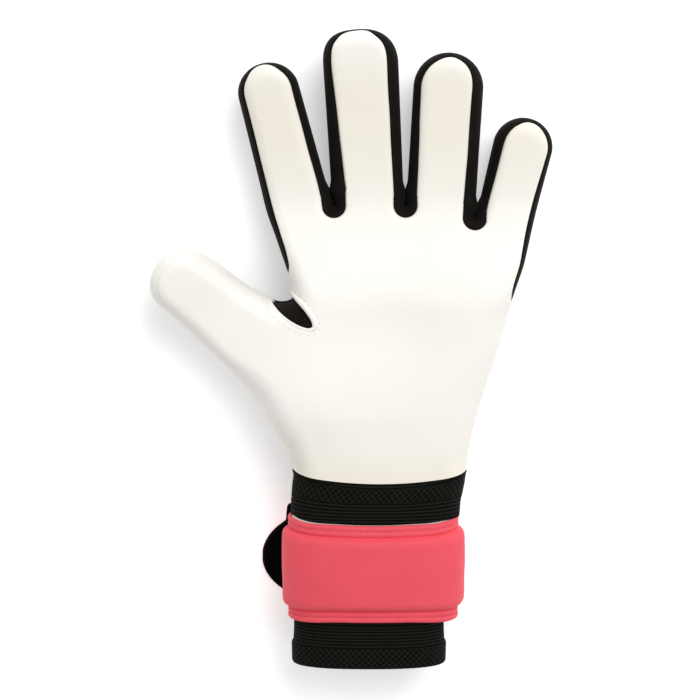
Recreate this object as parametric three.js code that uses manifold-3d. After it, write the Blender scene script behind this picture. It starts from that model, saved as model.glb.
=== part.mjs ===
// A left goalkeeper glove lying on its back with the palm up.
// Millimetres. +Z is up out of the palm, +Y runs to the fingertips and the thumb lies on the -X side.
// The plan is drawn with the middle of the wrist hem at x = 0, y = 0, and is moved at the end so
// that the origin is the middle of the glove's footprint, on the surface that it lies on.

import * as THREE from "three";
import { mergeVertices } from "three/addons/utils/BufferGeometryUtils.js";
import Module from "manifold-3d";

const wasm = await Module();
wasm.setup();

// Hand shell
const PALM_LENGTH = 124.2; // hem to the finger roots
const WRIST_WIDTH = 77.4;
const WRIST_DEPTH = 39;
const PALM_DEPTH = 41;
const FINGER_ROW_SHIFT = 9.5; // middle of the finger roots, off the wrist's middle
const FINGER_LENGTH = 80.2; // middle finger, root to tip
const FINGER_WIDTH = 33.5;
const FINGER_DEPTH = 26;
const SLIT_WIDTH = 0.9; // between two finger roots
const THUMB_OUT = 56.5; // middle of the thumb's base, off the wrist's middle
const THUMB_UP = 66.2; // the same point, above the hem
const THUMB_LENGTH = 55.4;
const THUMB_WIDTH = 32.4;
const THUMB_DEPTH = 28;
const THUMB_LEAN = 52.3; // degrees from the finger direction
const HEM_SAG = 2.5;

// How the back of the glove lifts off the surface
const FINGERTIP_LIFT = 10;
const THUMB_LIFT = 16;
const WRIST_LIFT = 3;

// Shape of the edges and of the palm
const FINGER_ROLL = 8.5; // how far in the top of a finger's rounding reaches
const PALM_ROLL = 13;
const THENAR_RISE = 4.5;
const THENAR_RADIUS = 24;
const HOLLOW_DEPTH = 3;
const HOLLOW_RADIUS = 22;

// Walls and seams
const PALM_WALL = 4.5; // latex foam on its lining
const BACK_WALL = 3.5;
const SIDE_WALL = 2.5;
const SEAM_GAP = 0.35;
const PALM_SEAM_DEPTH = 6.5; // palm edge below the top of a finger
const BACK_SEAM_HEIGHT = 5.5;
const BACK_MARGIN = 3.5; // gusset seen round the back panel
const WRAP_REACH = 1; // how far the palm's cut runs past the outline where the latex wraps

// Oval gusset in the thumb's crotch
const OVAL_LENGTH = 28.4;
const OVAL_WIDTH = 8.6;
const OVAL_ALONG = -0.058; // its middle from the thumb's base, as a share of THUMB_LENGTH
const OVAL_SIDE = 0.636; // and of THUMB_WIDTH
const OVAL_SUNK = 1; // below the latex round it

// Knitted cuff
const CUFF_LENGTH = 83; // hem of the shell to the cuff's end
const CUFF_INSERT = 12; // sewn inside the shell
const CUFF_WALL = 2.3;
const INSERT_EASE_WIDE = 0.6; // the sewn-in part is this much smaller than the shell's hollow
const INSERT_EASE_DEEP = 0.2;
const CUFF_WAIST_WIDTH = 69.6; // under the strap
const CUFF_WAIST_DEPTH = 32.5;
const CUFF_END_WIDTH = 68.6;
const CUFF_DRIFT = 5; // the cuff's end lies this far toward the thumb
const OVAL_POWER = 2.5; // exponent of the cuff's oval

// Wrist strap
const STRAP_HEIGHT = 42.5;
const STRAP_THICKNESS = 3;
const PAD_RISE = 2.4;
const STRAP_TOP = 18.5; // hem of the shell to the strap's top edge
const STRAP_SHIFT = 3.1; // middle of the strap, toward the thumb
const STRAP_START = 256; // degrees round the cuff's oval from its +X end, at the strap's hidden end
const STRAP_FALL = -38; // the strap starts to fall away from the cuff here
const STRAP_END = -90; // and is the flat flap from here
const STRAP_STEP = 8.65;
const FLAP_THICKNESS = 2.5;
const TAB_REACH = 50.6; // rounded end of the flap, off the strap's middle
const TAB_ROUND = 29; // length of the flap's rounding
const TAB_TURNS = [0, 20, 38, 52, 64, 75, 83]; // degrees of that rounding at its stations
const SHOULDER_RISE = 3; // the flap's top edge above the strap's
const SHOULDER_START = 14; // distances off the strap's middle between which the edge is raised
const SHOULDER_REACH = 39.2;
const SHOULDER_DROP = 0.4; // length over which the raised edge ends
const HOOK_THICKNESS = 1.2;
const HOOK_LENGTH = 45.5;
const HOOK_MARGIN = 0.7;
const LOOP_GAP = 0.3; // room between the hook tape's seam gap and the strap's end over it

const HEM_BASE = 7; // hem at the wrist's edges, above the plan's zero
const CAP_SPACING = 14; // size of the triangles over the palm and the back
const SIDE_SPACING = 11; // distance between the outline's points along a finger
const OVERDRAW = 20; // the shell is drawn this far past the plan's zero and cut off at its hem
const CUTTER_ROOM = 30; // how far the cutters stand over the shell

// Fingers from the index to the little one.
// root, tip: widths as shares of FINGER_WIDTH. round: tip's length over its half width.
// long: share of FINGER_LENGTH. up: share of PALM_LENGTH. lean: degrees toward the thumb.
// The margins are the width of gusset that shows beside the palm, as shares of FINGER_WIDTH:
// thumb side and little side, each at the tip's end and at the root, then over the tip.
const FINGERS = [
  { root: 0.916, tip: 0.833, round: 0.95, long: 0.838, up: 1.0, lean: 14.3,
    thumbTip: 0.09, thumbRoot: 0.1, littleTip: 0.09, littleRoot: 0.1, over: 0.036 },
  { root: 0.934, tip: 1.009, round: 0.96, long: 1.0, up: 1.0, lean: 3.6,
    thumbTip: 0.107, thumbRoot: 0.19, littleTip: 0.155, littleRoot: 0.128, over: 0.03 },
  { root: 0.904, tip: 0.94, round: 1.014, long: 0.901, up: 0.982, lean: -3.6,
    thumbTip: 0.084, thumbRoot: 0.113, littleTip: 0.161, littleRoot: 0.176, over: 0.06 },
  { root: 0.863, tip: 0.806, round: 1.0, long: 0.587, up: 0.96, lean: -12.1,
    thumbTip: 0.11, thumbRoot: 0.084, littleTip: 0.075, littleRoot: 0.096, over: 0.03 },
];

// Crotches between the fingers. up: share of PALM_LENGTH. slit: share of FINGER_LENGTH over
// which the two fingers touch. lean: degrees. margin: share of FINGER_WIDTH.
const CROTCHES = [
  { up: 0.999, slit: 0.125, lean: 16, margin: 0.131 },
  { up: 1.0, slit: 0.116, lean: -1, margin: 0.131 },
  { up: 0.96, slit: 0.083, lean: -16.7, margin: 0.131 },
];

// Little side of the palm from the wrist up. up: share of the little finger's root height.
// out: share of the way from the wrist's edge to the root's edge.
const PALM_EDGE = [
  { up: 0, out: 0 },
  { up: 0.1, out: 0 },
  { up: 0.164, out: 0.031 },
  { up: 0.304, out: 0.156 },
  { up: 0.429, out: 0.309 },
  { up: 0.561, out: 0.46 },
  { up: 0.655, out: 0.556 },
];

// The same edge where the gusset shows, up to the little finger's root.
// margin: share of FINGER_WIDTH. taper: how far the gusset has narrowed to its end.
const GUSSET_EDGE = [
  { up: 0.664, out: 0.565, margin: 0.033, taper: 0.7 },
  { up: 0.72, out: 0.638, margin: 0.05, taper: 0.6 },
  { up: 0.8, out: 0.745, margin: 0.078, taper: 0.35 },
  { up: 0.9, out: 0.856, margin: 0.085, taper: 0.1 },
  { up: 1, out: 0.945, margin: 0.096, taper: 0 },
];

// Index side between its root and the thumb's crotch. down: share of that way.
const INDEX_EDGE = [
  { down: 0.3, margin: 0.085, taper: 0.1 },
  { down: 0.55, margin: 0.08, taper: 0.35 },
  { down: 0.78, margin: 0.05, taper: 0.6 },
  { down: 0.96, margin: 0.033, taper: 0.7 },
];

// Thumb's crotch and near side in thumb shares, from the index finger to the thumb's tip.
// along: of THUMB_LENGTH from its base, side: of THUMB_WIDTH.
const THUMB_NEAR = [
  { along: 0.047, side: 0.953 },
  { along: -0.022, side: 0.8 },
  { along: 0.003, side: 0.7 },
  { along: 0.092, side: 0.62 },
  { along: 0.33, side: 0.57 },
  { along: 0.55, side: 0.575 },
];

// Round tip of the thumb in the same shares: its middle, half width and length.
// power: exponent of its oval.
const THUMB_TIP = { along: 0.7, side: 0.105, wide: 0.46, long: 0.28, power: 2.4 };

// Far side of the thumb, from its tip down.
const THUMB_FAR = [
  { along: 0.606, side: -0.37 },
  { along: 0.355, side: -0.428 },
  { along: 0.108, side: -0.471 },
];

// Outer side of the palm below the thumb, from the thumb down. up: share of THUMB_UP.
// out: share of the way from the wrist's edge to the middle of the thumb's base.
const THENAR_EDGE = [
  { up: 0.774, out: 1.412 },
  { up: 0.62, out: 0.93 },
  { up: 0.482, out: 0.645 },
  { up: 0.378, out: 0.42 },
  { up: 0.296, out: 0.226 },
  { up: 0.195, out: 0.073 },
  { up: 0.12, out: 0 },
];

// Round edge of the shell. rise: share of the half depth, inset: share of the roll.
const ROUND_EDGE = [
  { rise: -1, inset: 1 },
  { rise: -0.88, inset: 0.42 },
  { rise: -0.5, inset: 0.06 },
  { rise: 0.5, inset: 0.06 },
  { rise: 0.88, inset: 0.42 },
  { rise: 1, inset: 1 },
];
const HOLLOW_EDGE = [
  { rise: -1, inset: 1 },
  { rise: -0.7, inset: 0.08 },
  { rise: 0.7, inset: 0.08 },
  { rise: 1, inset: 1 },
];

// Strap's section. across: share of its half height. base: share of the strap's thickness.
// pad: share of the pad's rise.
const STRAP_SECTION = [
  { across: -1, base: 0.5, pad: 0 },
  { across: -0.96, base: 1, pad: 0 },
  { across: -0.78, base: 1, pad: 0 },
  { across: -0.66, base: 1, pad: 0.85 },
  { across: -0.4, base: 1, pad: 1 },
  { across: 0.4, base: 1, pad: 1 },
  { across: 0.66, base: 1, pad: 0.85 },
  { across: 0.78, base: 1, pad: 0 },
  { across: 0.96, base: 1, pad: 0 },
  { across: 1, base: 0.5, pad: 0 },
  { across: 1, base: 0, pad: 0 },
  { across: -1, base: 0, pad: 0 },
];

// Rings of the cuff. past: distance below the shell's hem as a share of CUFF_LENGTH.
// wide and deep: shares of the way from the waist's size (0) to the shell's size (1).
// drift: share of CUFF_DRIFT.
const CUFF_RINGS = [
  { past: 0.02, wide: 0.93, deep: 0.9, drift: 0.06 },
  { past: 0.05, wide: 0.95, deep: 0.92, drift: 0.15 },
  { past: 0.13, wide: 0.82, deep: 0.8, drift: 0.4 },
  { past: 0.19, wide: 0.78, deep: 0.7, drift: 0.45 },
  { past: 0.215, wide: 0, deep: 0, drift: 0.62 },
  { past: 0.45, wide: 0, deep: 0, drift: 0.62 },
  { past: 0.735, wide: 0, deep: 0, drift: 0.62 },
];

// The last rings, past the strap. grow: millimetres that the knit stands wider than its end's size.
const CUFF_END_RINGS = [
  { past: 0.775, grow: -0.6 },
  { past: 0.835, grow: -0.5 },
  { past: 0.855, grow: 0.3 },
  { past: 0.97, grow: 0.1 },
  { past: 1, grow: -1.4 },
];

// Small helpers

const radians = THREE.MathUtils.degToRad;
const lerp = THREE.MathUtils.lerp;
const ramp = (value, low, high) => THREE.MathUtils.smoothstep(value, low, high);

/** Unit vector that leans by an angle in degrees from +Y toward -X. */
function leaning(degrees) {
  const angle = radians(degrees);
  return new THREE.Vector2(-Math.sin(angle), Math.cos(angle));
}

/** Clockwise neighbour of a direction, which is its little-finger side. */
function sideOf(direction) {
  return new THREE.Vector2(direction.y, -direction.x);
}

function move(point, first, firstLength, second, secondLength) {
  const moved = point.clone().addScaledVector(first, firstLength);
  return second ? moved.addScaledVector(second, secondLength) : moved;
}

/** Sine or cosine of an oval's angle, for an oval of an exponent. */
function bowed(value, power) {
  return Math.sign(value) * Math.abs(value) ** (2 / power);
}

// Places that the outline follows

const rootWidths = FINGERS.map((finger) => finger.root * FINGER_WIDTH);
const rowWidth = rootWidths.reduce((sum, width) => sum + width, 0);
const rowStart = FINGER_ROW_SHIFT - rowWidth / 2;

/** Adds a finger's own points to its row of the table. */
function placedFinger(finger, index) {
  const before = rootWidths.slice(0, index).reduce((sum, width) => sum + width, 0);
  const root = new THREE.Vector2(rowStart + before + rootWidths[index] / 2, finger.up * PALM_LENGTH);
  const along = leaning(finger.lean);
  const halfWidth = (finger.tip * FINGER_WIDTH) / 2;
  const tipLength = halfWidth * finger.round;
  const length = finger.long * FINGER_LENGTH;
  return {
    ...finger, root, along, side: sideOf(along), halfWidth, tipLength,
    tipCentre: move(root, along, length - tipLength),
    tipEnd: move(root, along, length),
  };
}

const fingers = FINGERS.map(placedFinger);
const wristEdge = WRIST_WIDTH / 2;
const littleRootEdge = rowStart + rowWidth;
const littleRootUp = fingers[3].root.y;
const thumbBase = new THREE.Vector2(-THUMB_OUT, THUMB_UP);
const thumbAlong = leaning(THUMB_LEAN);
const thumbSide = sideOf(thumbAlong);

function thumbPoint(along, side) {
  return move(thumbBase, thumbAlong, along * THUMB_LENGTH, thumbSide, side * THUMB_WIDTH);
}

/** Corner where the index side meets the thumb's crotch. */
const thumbCorner = thumbPoint(THUMB_NEAR[0].along, THUMB_NEAR[0].side);

/** Where a plan point lies along the thumb and beside it, and how far the thumb rules it. */
function thumbShare(x, y) {
  const from = new THREE.Vector2(x, y).sub(thumbBase);
  const along = from.dot(thumbAlong) / THUMB_LENGTH;
  const side = from.dot(thumbSide) / THUMB_WIDTH;
  return { along, rules: 1 - ramp(side, 0.78, 1.1) };
}

// Heights of the back and the palm over the plan

function backHeight(x, y) {
  const thumb = thumbShare(x, y);
  const finger = ramp(y, PALM_LENGTH * 0.95, PALM_LENGTH + FINGER_LENGTH * 1.25);
  const wrist = 1 - ramp(y, 0, PALM_LENGTH * 0.25);
  const thumbLift = THUMB_LIFT * ramp(thumb.along, -0.25, 1.1) * thumb.rules;
  return FINGERTIP_LIFT * 1.15 * finger * (1 - thumb.rules * ramp(thumb.along, 0, 0.3))
    + thumbLift + WRIST_LIFT * wrist;
}

function mound(x, y, centreX, centreY, radius) {
  const away = Math.hypot(x - centreX, y - centreY) / radius;
  return Math.exp(-away * away);
}

function depthAt(x, y) {
  const thumb = thumbShare(x, y);
  const palm = 1 - ramp(y, PALM_LENGTH * 0.66, PALM_LENGTH * 1.06);
  const wrist = 1 - ramp(y, 0, PALM_LENGTH * 0.3);
  const hand = lerp(lerp(FINGER_DEPTH, PALM_DEPTH, palm), WRIST_DEPTH, wrist);
  const whole = lerp(hand, THUMB_DEPTH, ramp(thumb.along, -0.3, 0.5) * thumb.rules);
  return whole
    + THENAR_RISE * mound(x, y, -THUMB_OUT * 0.62, THUMB_UP * 0.62, THENAR_RADIUS)
    - HOLLOW_DEPTH * mound(x, y, WRIST_WIDTH * 0.1, PALM_LENGTH * 0.6, HOLLOW_RADIUS);
}

const palmHeight = (x, y) => backHeight(x, y) + depthAt(x, y);
const seamHeight = (x, y) => backHeight(x, y) + 0.4 * depthAt(x, y);

function rollAt(x, y) {
  const thumb = thumbShare(x, y);
  const belowFingers = 1 - ramp(y, PALM_LENGTH * 0.6, PALM_LENGTH * 0.97);
  const besideThumb = 1 - thumb.rules * ramp(thumb.along, -0.3, 0.2);
  return lerp(FINGER_ROLL, PALM_ROLL, belowFingers * besideThumb);
}

// Outline of the hand, counterclockwise from the wrist's little-finger edge.
// Each point has its place, the margin of gusset beside the palm, and the gusset's taper.
// Where the latex wraps the side there is no margin.

function outlinePoint(place, margin, taper = 0) {
  return { x: place.x, y: place.y, margin: margin * FINGER_WIDTH, taper };
}

const wrapped = (place) => ({ x: place.x, y: place.y, margin: -WRAP_REACH, taper: 1 });

function palmEdgePlace(row) {
  return new THREE.Vector2(lerp(wristEdge, littleRootEdge, row.out), row.up * littleRootUp);
}

/** Tip of a finger as half an ellipse, from its little side to its thumb side. */
function fingerTip(finger) {
  const steps = 8;
  const points = [];
  for (let step = 0; step <= steps; step += 1) {
    const turn = (Math.PI * step) / steps;
    const across = Math.cos(turn) * finger.halfWidth;
    const up = Math.sin(turn) * finger.tipLength;
    const atSide = step * 2 < steps ? finger.littleTip : finger.thumbTip;
    const margin = lerp(atSide, finger.over, Math.sin(turn) ** 2);
    points.push(outlinePoint(move(finger.tipCentre, finger.side, across, finger.along, up), margin));
  }
  return points;
}

/** Straight run of points between two places, without its ends. */
function run(from, to, fromMargin, toMargin, steps) {
  const points = [];
  for (let step = 1; step < steps; step += 1) {
    const share = step / steps;
    const place = new THREE.Vector2().lerpVectors(from, to, share);
    points.push(outlinePoint(place, lerp(fromMargin, toMargin, share)));
  }
  return points;
}

/** From the thumb side of one finger round its crotch to the little side of the next. */
function crotchRun(littler, crotch, index, thumbward) {
  const bottom = new THREE.Vector2(rowStart + rootWidths.slice(0, index + 1).reduce((a, b) => a + b, 0),
    crotch.up * PALM_LENGTH);
  const up = leaning(crotch.lean);
  const side = sideOf(up);
  const half = SLIT_WIDTH / 2;
  const slitLength = crotch.slit * FINGER_LENGTH;
  const littleTop = move(bottom, up, slitLength, side, half);
  const thumbTop = move(bottom, up, slitLength, side, -half);
  const littleStart = move(littler.tipCentre, littler.side, -littler.halfWidth);
  const thumbEnd = move(thumbward.tipCentre, thumbward.side, thumbward.halfWidth);
  const steps = (from, to) => Math.max(2, Math.round(from.distanceTo(to) / SIDE_SPACING));
  const points = run(littleStart, littleTop, littler.thumbTip, littler.thumbRoot, steps(littleStart, littleTop));
  points.push(outlinePoint(littleTop, littler.thumbRoot));
  for (const turn of [0, 60, 120, 180]) {
    const angle = radians(turn);
    const place = move(bottom, side, Math.cos(angle) * half, up, half * (1 - Math.sin(angle)));
    const margin = lerp(lerp(littler.thumbRoot, thumbward.littleRoot, turn / 180), crotch.margin, 0.7);
    points.push(outlinePoint(place, margin));
  }
  points.push(outlinePoint(thumbTop, thumbward.littleRoot));
  points.push(...run(thumbTop, thumbEnd, thumbward.littleRoot, thumbward.littleTip, steps(thumbTop, thumbEnd)));
  return points;
}

/** Little side from the gusset's end up to the little finger's tip. */
function littleOuterRun() {
  const little = fingers[3];
  const root = GUSSET_EDGE[GUSSET_EDGE.length - 1];
  const tipStart = move(little.tipCentre, little.side, little.halfWidth);
  return [
    ...GUSSET_EDGE.map((row) => outlinePoint(palmEdgePlace(row), row.margin, row.taper)),
    ...run(palmEdgePlace(root), tipStart, root.margin, little.littleTip, 4),
  ];
}

/** Thumb side from the index finger's tip down to the gusset's end. */
function indexOuterRun() {
  const index = fingers[0];
  const rootPlace = new THREE.Vector2(rowStart, index.root.y);
  const tipStart = move(index.tipCentre, index.side, -index.halfWidth);
  const lower = INDEX_EDGE.map((row) => {
    const place = new THREE.Vector2().lerpVectors(rootPlace, thumbCorner, row.down);
    return outlinePoint(place, row.margin, row.taper);
  });
  return [
    ...run(tipStart, rootPlace, index.thumbTip, index.thumbRoot, 5),
    outlinePoint(rootPlace, index.thumbRoot),
    ...lower,
  ];
}

/** Thumb and the outer side of the palm, down to the wrist. */
function thumbRun() {
  const points = THUMB_NEAR.map((row) => thumbPoint(row.along, row.side));
  const steps = 8;
  for (let step = 0; step <= steps; step += 1) {
    const turn = (Math.PI * step) / steps;
    const across = bowed(Math.cos(turn), THUMB_TIP.power) * THUMB_TIP.wide;
    const up = bowed(Math.sin(turn), THUMB_TIP.power) * THUMB_TIP.long;
    points.push(thumbPoint(THUMB_TIP.along + up, THUMB_TIP.side + across));
  }
  for (const row of THUMB_FAR) points.push(thumbPoint(row.along, row.side));
  for (const row of THENAR_EDGE) {
    points.push(new THREE.Vector2(lerp(-wristEdge, -THUMB_OUT, row.out), row.up * THUMB_UP));
  }
  return points.map(wrapped);
}

/** Straight sides of the wrist, drawn past the hem. */
function wristRun() {
  const places = [];
  for (const x of [-1, -0.6, -0.2, 0.2, 0.6, 1]) {
    places.push(new THREE.Vector2(x * wristEdge, -OVERDRAW));
  }
  return places.map(wrapped);
}

function handOutline() {
  const palmEdge = PALM_EDGE.map((row) => wrapped(palmEdgePlace(row)));
  return [
    ...palmEdge,
    ...littleOuterRun(),
    ...fingerTip(fingers[3]),
    ...crotchRun(fingers[3], CROTCHES[2], 2, fingers[2]),
    ...fingerTip(fingers[2]),
    ...crotchRun(fingers[2], CROTCHES[1], 1, fingers[1]),
    ...fingerTip(fingers[1]),
    ...crotchRun(fingers[1], CROTCHES[0], 0, fingers[0]),
    ...fingerTip(fingers[0]),
    ...indexOuterRun(),
    ...thumbRun(),
    ...wristRun(),
  ];
}

/** Gives each point of a closed outline its inward normal. */
function withNormals(points) {
  return points.map((point, index) => {
    const before = points[(index + points.length - 1) % points.length];
    const after = points[(index + 1) % points.length];
    const into = new THREE.Vector2(point.x - before.x, point.y - before.y).normalize();
    const out = new THREE.Vector2(after.x - point.x, after.y - point.y).normalize();
    const normal = new THREE.Vector2(-into.y - out.y, into.x + out.x).normalize();
    const miter = Math.min(1.25, 1 / Math.max(0.5, normal.dot(new THREE.Vector2(-into.y, into.x))));
    return { ...point, normal: normal.multiplyScalar(miter) };
  });
}

const outline = withNormals(handOutline());

// Meshes from rings of points

function insideRing(x, y, ring) {
  let inside = false;
  for (let index = 0, last = ring.length - 1; index < ring.length; last = index, index += 1) {
    const a = ring[index];
    const b = ring[last];
    if ((a.y > y) !== (b.y > y) && x < ((b.x - a.x) * (y - a.y)) / (b.y - a.y) + a.x) inside = !inside;
  }
  return inside;
}

function nearEdge(x, y, ring, clearance) {
  return ring.some((a, index) => {
    const b = ring[(index + 1) % ring.length];
    const middleX = (a.x + b.x) / 2;
    const middleY = (a.y + b.y) / 2;
    const half = Math.hypot(a.x - b.x, a.y - b.y) / 2;
    return Math.hypot(x - middleX, y - middleY) < half + clearance;
  });
}

/** Circle through three plan points, for the triangulation. */
function circleThrough(a, b, c) {
  const ax = b.x - a.x;
  const ay = b.y - a.y;
  const bx = c.x - a.x;
  const by = c.y - a.y;
  const cross = 2 * (ax * by - ay * bx);
  const x = (by * (ax * ax + ay * ay) - ay * (bx * bx + by * by)) / cross;
  const y = (ax * (bx * bx + by * by) - bx * (ax * ax + ay * ay)) / cross;
  return { x: a.x + x, y: a.y + y, radius: x * x + y * y };
}

/**
 * Delaunay triangles of a set of plan points, counterclockwise.
 * Each point is nudged, so that no four share a circle.
 */
function delaunay(points) {
  const far = 1e5;
  const nudge = 1e-4;
  const nudged = points.map((point, index) => ({
    x: point.x + nudge * Math.sin(index * 12.9), y: point.y + nudge * Math.sin(index * 78.2),
  }));
  const all = [...nudged, { x: -far, y: -far }, { x: far, y: -far }, { x: 0, y: far }];
  const count = points.length;
  const corner = (a, b, c) => ({ a, b, c, circle: circleThrough(all[a], all[b], all[c]) });
  let triangles = [corner(count, count + 1, count + 2)];
  for (let index = 0; index < count; index += 1) {
    const edges = new Map();
    const kept = [];
    for (const triangle of triangles) {
      const away = (all[index].x - triangle.circle.x) ** 2 + (all[index].y - triangle.circle.y) ** 2;
      if (away >= triangle.circle.radius) {
        kept.push(triangle);
        continue;
      }
      for (const [from, to] of [[triangle.a, triangle.b], [triangle.b, triangle.c], [triangle.c, triangle.a]]) {
        const back = `${to},${from}`;
        if (edges.has(back)) edges.delete(back);
        else edges.set(`${from},${to}`, [from, to]);
      }
    }
    triangles = kept;
    for (const [from, to] of edges.values()) triangles.push(corner(from, to, index));
  }
  return triangles.filter((t) => t.a < count && t.b < count && t.c < count);
}

/** Fills a plan ring with triangles of about one size. The ring's own points come first. */
function fillRing(ring, spacing) {
  const points = ring.map((point) => ({ x: point.x, y: point.y }));
  const box = new THREE.Box2().setFromPoints(ring.map((point) => new THREE.Vector2(point.x, point.y)));
  const rowHeight = spacing * 0.866;
  let row = 0;
  for (let y = box.min.y + rowHeight / 2; y < box.max.y; y += rowHeight) {
    row += 1;
    for (let x = box.min.x + (row % 2 ? 0 : spacing / 2); x < box.max.x; x += spacing) {
      if (insideRing(x, y, ring) && !nearEdge(x, y, ring, spacing * 0.18)) points.push({ x, y });
    }
  }
  const triangles = delaunay(points)
    .filter((t) => insideRing(
      (points[t.a].x + points[t.b].x + points[t.c].x) / 3,
      (points[t.a].y + points[t.b].y + points[t.c].y) / 3, ring))
    .map((t) => [t.a, t.b, t.c]);
  return { points, triangles };
}

/**
 * Closed solid from rings of equal length, given from the bottom up, with filled ends.
 * One plan may be given, whose triangles then fill both ends.
 */
function stackedSolid(rings, bottomAt, topAt, spacing, plan) {
  const positions = [];
  const triangles = [];
  const count = rings[0].length;
  for (const ring of rings) for (const point of ring) positions.push(point.x, point.y, point.z);
  for (let level = 0; level + 1 < rings.length; level += 1) {
    for (let index = 0; index < count; index += 1) {
      const a = level * count + index;
      const b = level * count + ((index + 1) % count);
      triangles.push(a, b, b + count, a, b + count, a + count);
    }
  }
  const cap = (ring, firstRingVertex, heightAt, flipped) => {
    const filled = fillRing(ring, spacing);
    const added = positions.length / 3;
    const number = (index) => (index < count ? firstRingVertex + index : added + index - count);
    for (const point of filled.points.slice(count)) {
      positions.push(point.x, point.y, heightAt(point.x, point.y));
    }
    for (const [a, b, c] of filled.triangles) {
      if (flipped) triangles.push(number(a), number(c), number(b));
      else triangles.push(number(a), number(b), number(c));
    }
  };
  const last = rings.length - 1;
  cap(plan ?? rings[0], 0, bottomAt, true);
  cap(plan ?? rings[last], last * count, topAt, false);
  return solidFrom(positions, triangles);
}

function solidFrom(positions, triangles) {
  return new wasm.Manifold(new wasm.Mesh({
    numProp: 3, vertProperties: new Float32Array(positions), triVerts: new Uint32Array(triangles),
  }));
}

/** Solid of a three.js geometry, with its shared corners merged. */
function solidOf(geometry) {
  const bare = geometry.clone();
  bare.deleteAttribute("normal");
  bare.deleteAttribute("uv");
  const merged = mergeVertices(bare, 1e-4);
  return solidFrom(merged.attributes.position.array, merged.index.array);
}

/** Pillow over the hand's outline: its rounded edge follows a table, between two heights. */
function pillow(edge, wall, rollLoss, bottomAt, topAt, spacing) {
  const rings = edge.map((row) => outline.map((point) => {
    const inset = wall + row.inset * (rollAt(point.x, point.y) - rollLoss);
    const x = point.x + point.normal.x * inset;
    const y = point.y + point.normal.y * inset;
    const low = bottomAt(x, y);
    const high = topAt(x, y);
    return { x, y, z: lerp(low, high, (row.rise + 1) / 2) };
  }));
  return stackedSolid(rings, bottomAt, topAt, spacing);
}

/**
 * Upright cutter over an inset outline, from a height of each of its points to a height far off.
 * A grown one keeps the triangles of the one that isn't, so the gap between the two is even.
 */
function panelCutter(growth, insetOf, edgeHeight, innerHeight, farHeight) {
  const upward = farHeight > 0;
  const rise = upward ? -growth : growth;
  const ringAt = (grown) => outline.map((point) => {
    const inset = insetOf(point);
    const x = point.x + point.normal.x * inset;
    const y = point.y + point.normal.y * inset;
    return {
      x: x - point.normal.x * grown, y: y - point.normal.y * grown, z: edgeHeight(point, x, y) + rise,
    };
  });
  const plan = ringAt(0);
  const near = ringAt(growth);
  const far = near.map((point) => ({ ...point, z: farHeight }));
  const inner = (x, y) => innerHeight(x, y) + rise;
  const flat = () => farHeight;
  return upward
    ? stackedSolid([near, far], inner, flat, CAP_SPACING, plan)
    : stackedSolid([far, near], flat, inner, CAP_SPACING, plan);
}

/** Prism over a closed list of plan points. */
function prism(points, low, high) {
  const shape = new THREE.Shape(points.map((point) => new THREE.Vector2(point.x, point.y)));
  const geometry = new THREE.ExtrudeGeometry(shape, { depth: high - low, bevelEnabled: false });
  geometry.translate(0, 0, low);
  return solidOf(geometry);
}

// The hand shell and what it is cut into

const highest = PALM_DEPTH + THUMB_LIFT + THENAR_RISE + CUTTER_ROOM;
const lowest = -CUTTER_ROOM;

function shellSolid() {
  const outer = pillow(ROUND_EDGE, 0, 0, backHeight, palmHeight, CAP_SPACING);
  const hollow = pillow(HOLLOW_EDGE, SIDE_WALL, SIDE_WALL * 0.8,
    (x, y) => backHeight(x, y) + BACK_WALL, (x, y) => palmHeight(x, y) - PALM_WALL, CAP_SPACING * 1.2);
  return outer.subtract(hollow).subtract(hemCutter());
}

const hemHeight = (x) => HEM_SAG * ((x / wristEdge) ** 2 - 1);

function hemCutter() {
  const points = [];
  const reach = wristEdge * 1.4;
  const steps = 16;
  for (let step = 0; step <= steps; step += 1) {
    const x = lerp(reach, -reach, step / steps);
    points.push(new THREE.Vector2(x, HEM_BASE + hemHeight(Math.min(Math.abs(x), wristEdge))));
  }
  points.push(new THREE.Vector2(-reach, -OVERDRAW * 3), new THREE.Vector2(reach, -OVERDRAW * 3));
  return prism(points, lowest, highest);
}

/** Region of the palm's latex. Grown by the seam gap it cuts the gussets. */
function palmRegion(growth) {
  const overFinger = (x, y) => palmHeight(x, y) - PALM_SEAM_DEPTH;
  return panelCutter(
    growth,
    (point) => point.margin,
    (point, x, y) => lerp(overFinger(x, y), seamHeight(x, y), point.taper),
    (x, y) => lerp(seamHeight(x, y), overFinger(x, y), ramp(y, PALM_LENGTH * 0.9, PALM_LENGTH)),
    highest);
}

/** Region of the back panel, the same way from below. */
function backRegion(growth) {
  const overFinger = (x, y) => backHeight(x, y) + BACK_SEAM_HEIGHT;
  const underSeam = (x, y) => seamHeight(x, y) - SEAM_GAP;
  return panelCutter(
    growth,
    (point) => Math.min(point.margin, BACK_MARGIN),
    (point, x, y) => lerp(overFinger(x, y), underSeam(x, y), point.taper),
    (x, y) => lerp(underSeam(x, y), overFinger(x, y), ramp(y, PALM_LENGTH * 0.9, PALM_LENGTH)),
    lowest);
}

/** Oval of the thumb crotch's gusset, grown all round. */
function ovalRegion(growth) {
  const centre = thumbPoint(OVAL_ALONG, OVAL_SIDE);
  const points = [];
  const steps = 24;
  for (let step = 0; step < steps; step += 1) {
    const turn = (2 * Math.PI * step) / steps;
    points.push(move(centre, thumbAlong, -Math.cos(turn) * (OVAL_LENGTH / 2 + growth),
      thumbSide, Math.sin(turn) * (OVAL_WIDTH / 2 + growth)));
  }
  return prism(points, seamHeight(centre.x, centre.y) + SEAM_GAP - growth, highest);
}

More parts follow.
